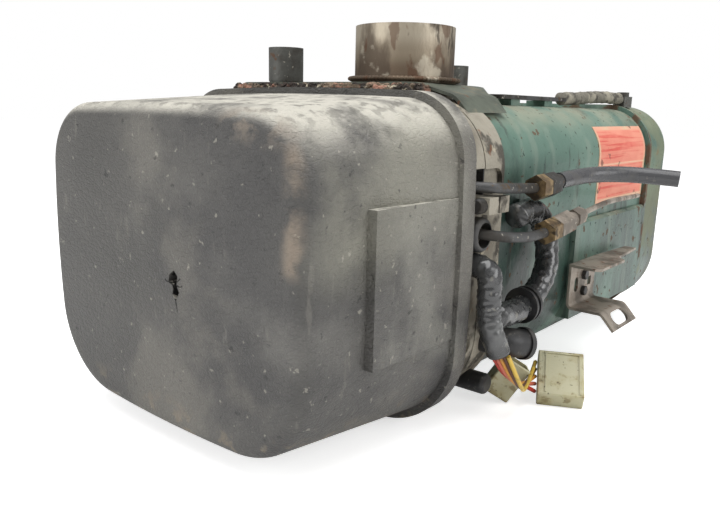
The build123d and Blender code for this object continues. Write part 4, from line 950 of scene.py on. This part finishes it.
class HEATER_OT_stage(bpy.types.Operator):
    """Make the floor, the soft lights and the camera"""
    bl_idname = "heater.stage"
    bl_label = "Stage"

    def execute(self, context):
        sizes = context.scene.heater_stage_sizes
        half = sizes.floor_size / 2
        mesh = bpy.data.meshes.new("studio_floor")
        corners = [(-half, -half, 0), (half, -half, 0), (half, half, 0), (-half, half, 0)]
        mesh.from_pydata(corners, [], [(0, 1, 2, 3)])
        floor = bpy.data.objects.new("studio_floor", mesh)
        context.scene.collection.objects.link(floor)
        material = bpy.data.materials.new("white_floor")
        material.use_nodes = True
        shader = material.node_tree.nodes["Principled BSDF"]
        shader.inputs["Base Color"].default_value = (0.95, 0.95, 0.95, 1)
        shader.inputs["Roughness"].default_value = 0.9
        shader.inputs["Emission Color"].default_value = (1, 1, 1, 1)
        seen = material.node_tree.nodes.new("ShaderNodeLightPath")
        lift = material.node_tree.nodes.new("ShaderNodeMapRange")
        lift.inputs["To Max"].default_value = sizes.floor_lift
        material.node_tree.links.new(seen.outputs["Is Camera Ray"], lift.inputs["Value"])
        material.node_tree.links.new(lift.outputs["Result"], shader.inputs["Emission Strength"])
        floor.data.materials.append(material)
        self.make_world(context)
        for name, (light_place, size, power) in LIGHTS.items():
            self.add_light(context, name, light_place, size, power)
        camera = bpy.data.objects.new("photo_camera", bpy.data.cameras.new("photo_camera"))
        context.scene.collection.objects.link(camera)
        camera.data.lens = sizes.lens
        camera.data.sensor_width = 36.0
        turn = (
            Matrix.Rotation(sizes.yaw, 4, "Z") @ Matrix.Rotation(math.pi / 2 - sizes.pitch, 4, "X")
            @ Matrix.Rotation(sizes.roll, 4, "Z"))
        camera.matrix_world = Matrix.Translation(sizes.eye) @ turn
        context.scene.camera = camera
        context.scene.view_settings.view_transform = "Standard"
        return {"FINISHED"}

    def make_world(self, context):
        """A pale sky that is pure white where the camera sees it, and softer as a light."""
        world = bpy.data.worlds.new("studio_sky")
        context.scene.world = world
        world.use_nodes = True
        nodes, links = world.node_tree.nodes, world.node_tree.links
        background = nodes["Background"]
        background.inputs["Color"].default_value = (1, 1, 1, 1)
        path = nodes.new("ShaderNodeLightPath")
        strength = nodes.new("ShaderNodeMapRange")
        strength.inputs["To Min"].default_value = SKY_LIGHT
        strength.inputs["To Max"].default_value = SKY_SEEN
        links.new(path.outputs["Is Camera Ray"], strength.inputs["Value"])
        links.new(strength.outputs["Result"], background.inputs["Strength"])

    def add_light(self, context, name, light_place, size, power):
        """A square soft light turned towards the heater."""
        light = bpy.data.lights.new(name, "AREA")
        light.size = size
        light.energy = power
        holder = bpy.data.objects.new(name, light)
        context.scene.collection.objects.link(holder)
        holder.location = light_place
        holder.rotation_euler = (LIGHT_TARGET - Vector(light_place)).to_track_quat("-Z", "Y").to_euler()


class HEATER_PT_panel(bpy.types.Panel):
    """Lists the heater's pieces and their sizes"""
    bl_label = "Heater"
    bl_idname = "HEATER_PT_panel"
    bl_space_type = "VIEW_3D"
    bl_region_type = "UI"
    bl_category = "Heater"

    def draw(self, context):
        layout = self.layout
        for operator in OPERATORS:
            layout.operator(operator.bl_idname)
        for group in GROUPS:
            sizes = getattr(context.scene, group)
            for name in sizes.__annotations__:
                layout.prop(sizes, name)


OPERATORS = (
    HEATER_OT_stage, HEATER_OT_finishes, HEATER_OT_cords, HEATER_OT_lead, HEATER_OT_foam, HEATER_OT_weld,
    HEATER_OT_plug_details)
GROUPS = {
    "heater_finish_sizes": HeaterFinishSizes,
    "heater_piece_sizes": HeaterPieceSizes,
    "heater_stage_sizes": HeaterStageSizes,
}


def register():
    """Register the groups, the operators and the panel."""
    for name, group in GROUPS.items():
        bpy.utils.register_class(group)
        setattr(bpy.types.Scene, name, bpy.props.PointerProperty(type=group))
    for operator in OPERATORS:
        bpy.utils.register_class(operator)
    bpy.utils.register_class(HEATER_PT_panel)


def unregister():
    """Take back everything that register adds."""
    bpy.utils.unregister_class(HEATER_PT_panel)
    for operator in reversed(OPERATORS):
        bpy.utils.unregister_class(operator)
    for name, group in GROUPS.items():
        delattr(bpy.types.Scene, name)
        bpy.utils.unregister_class(group)


def main():
    """Make every piece in order."""
    register()
    bpy.ops.heater.stage()
    bpy.ops.heater.finishes()
    bpy.ops.heater.cords()
    bpy.ops.heater.lead()
    bpy.ops.heater.foam()
    bpy.ops.heater.weld()
    bpy.ops.heater.plug_details()


if __name__ == "__main__":
    main()
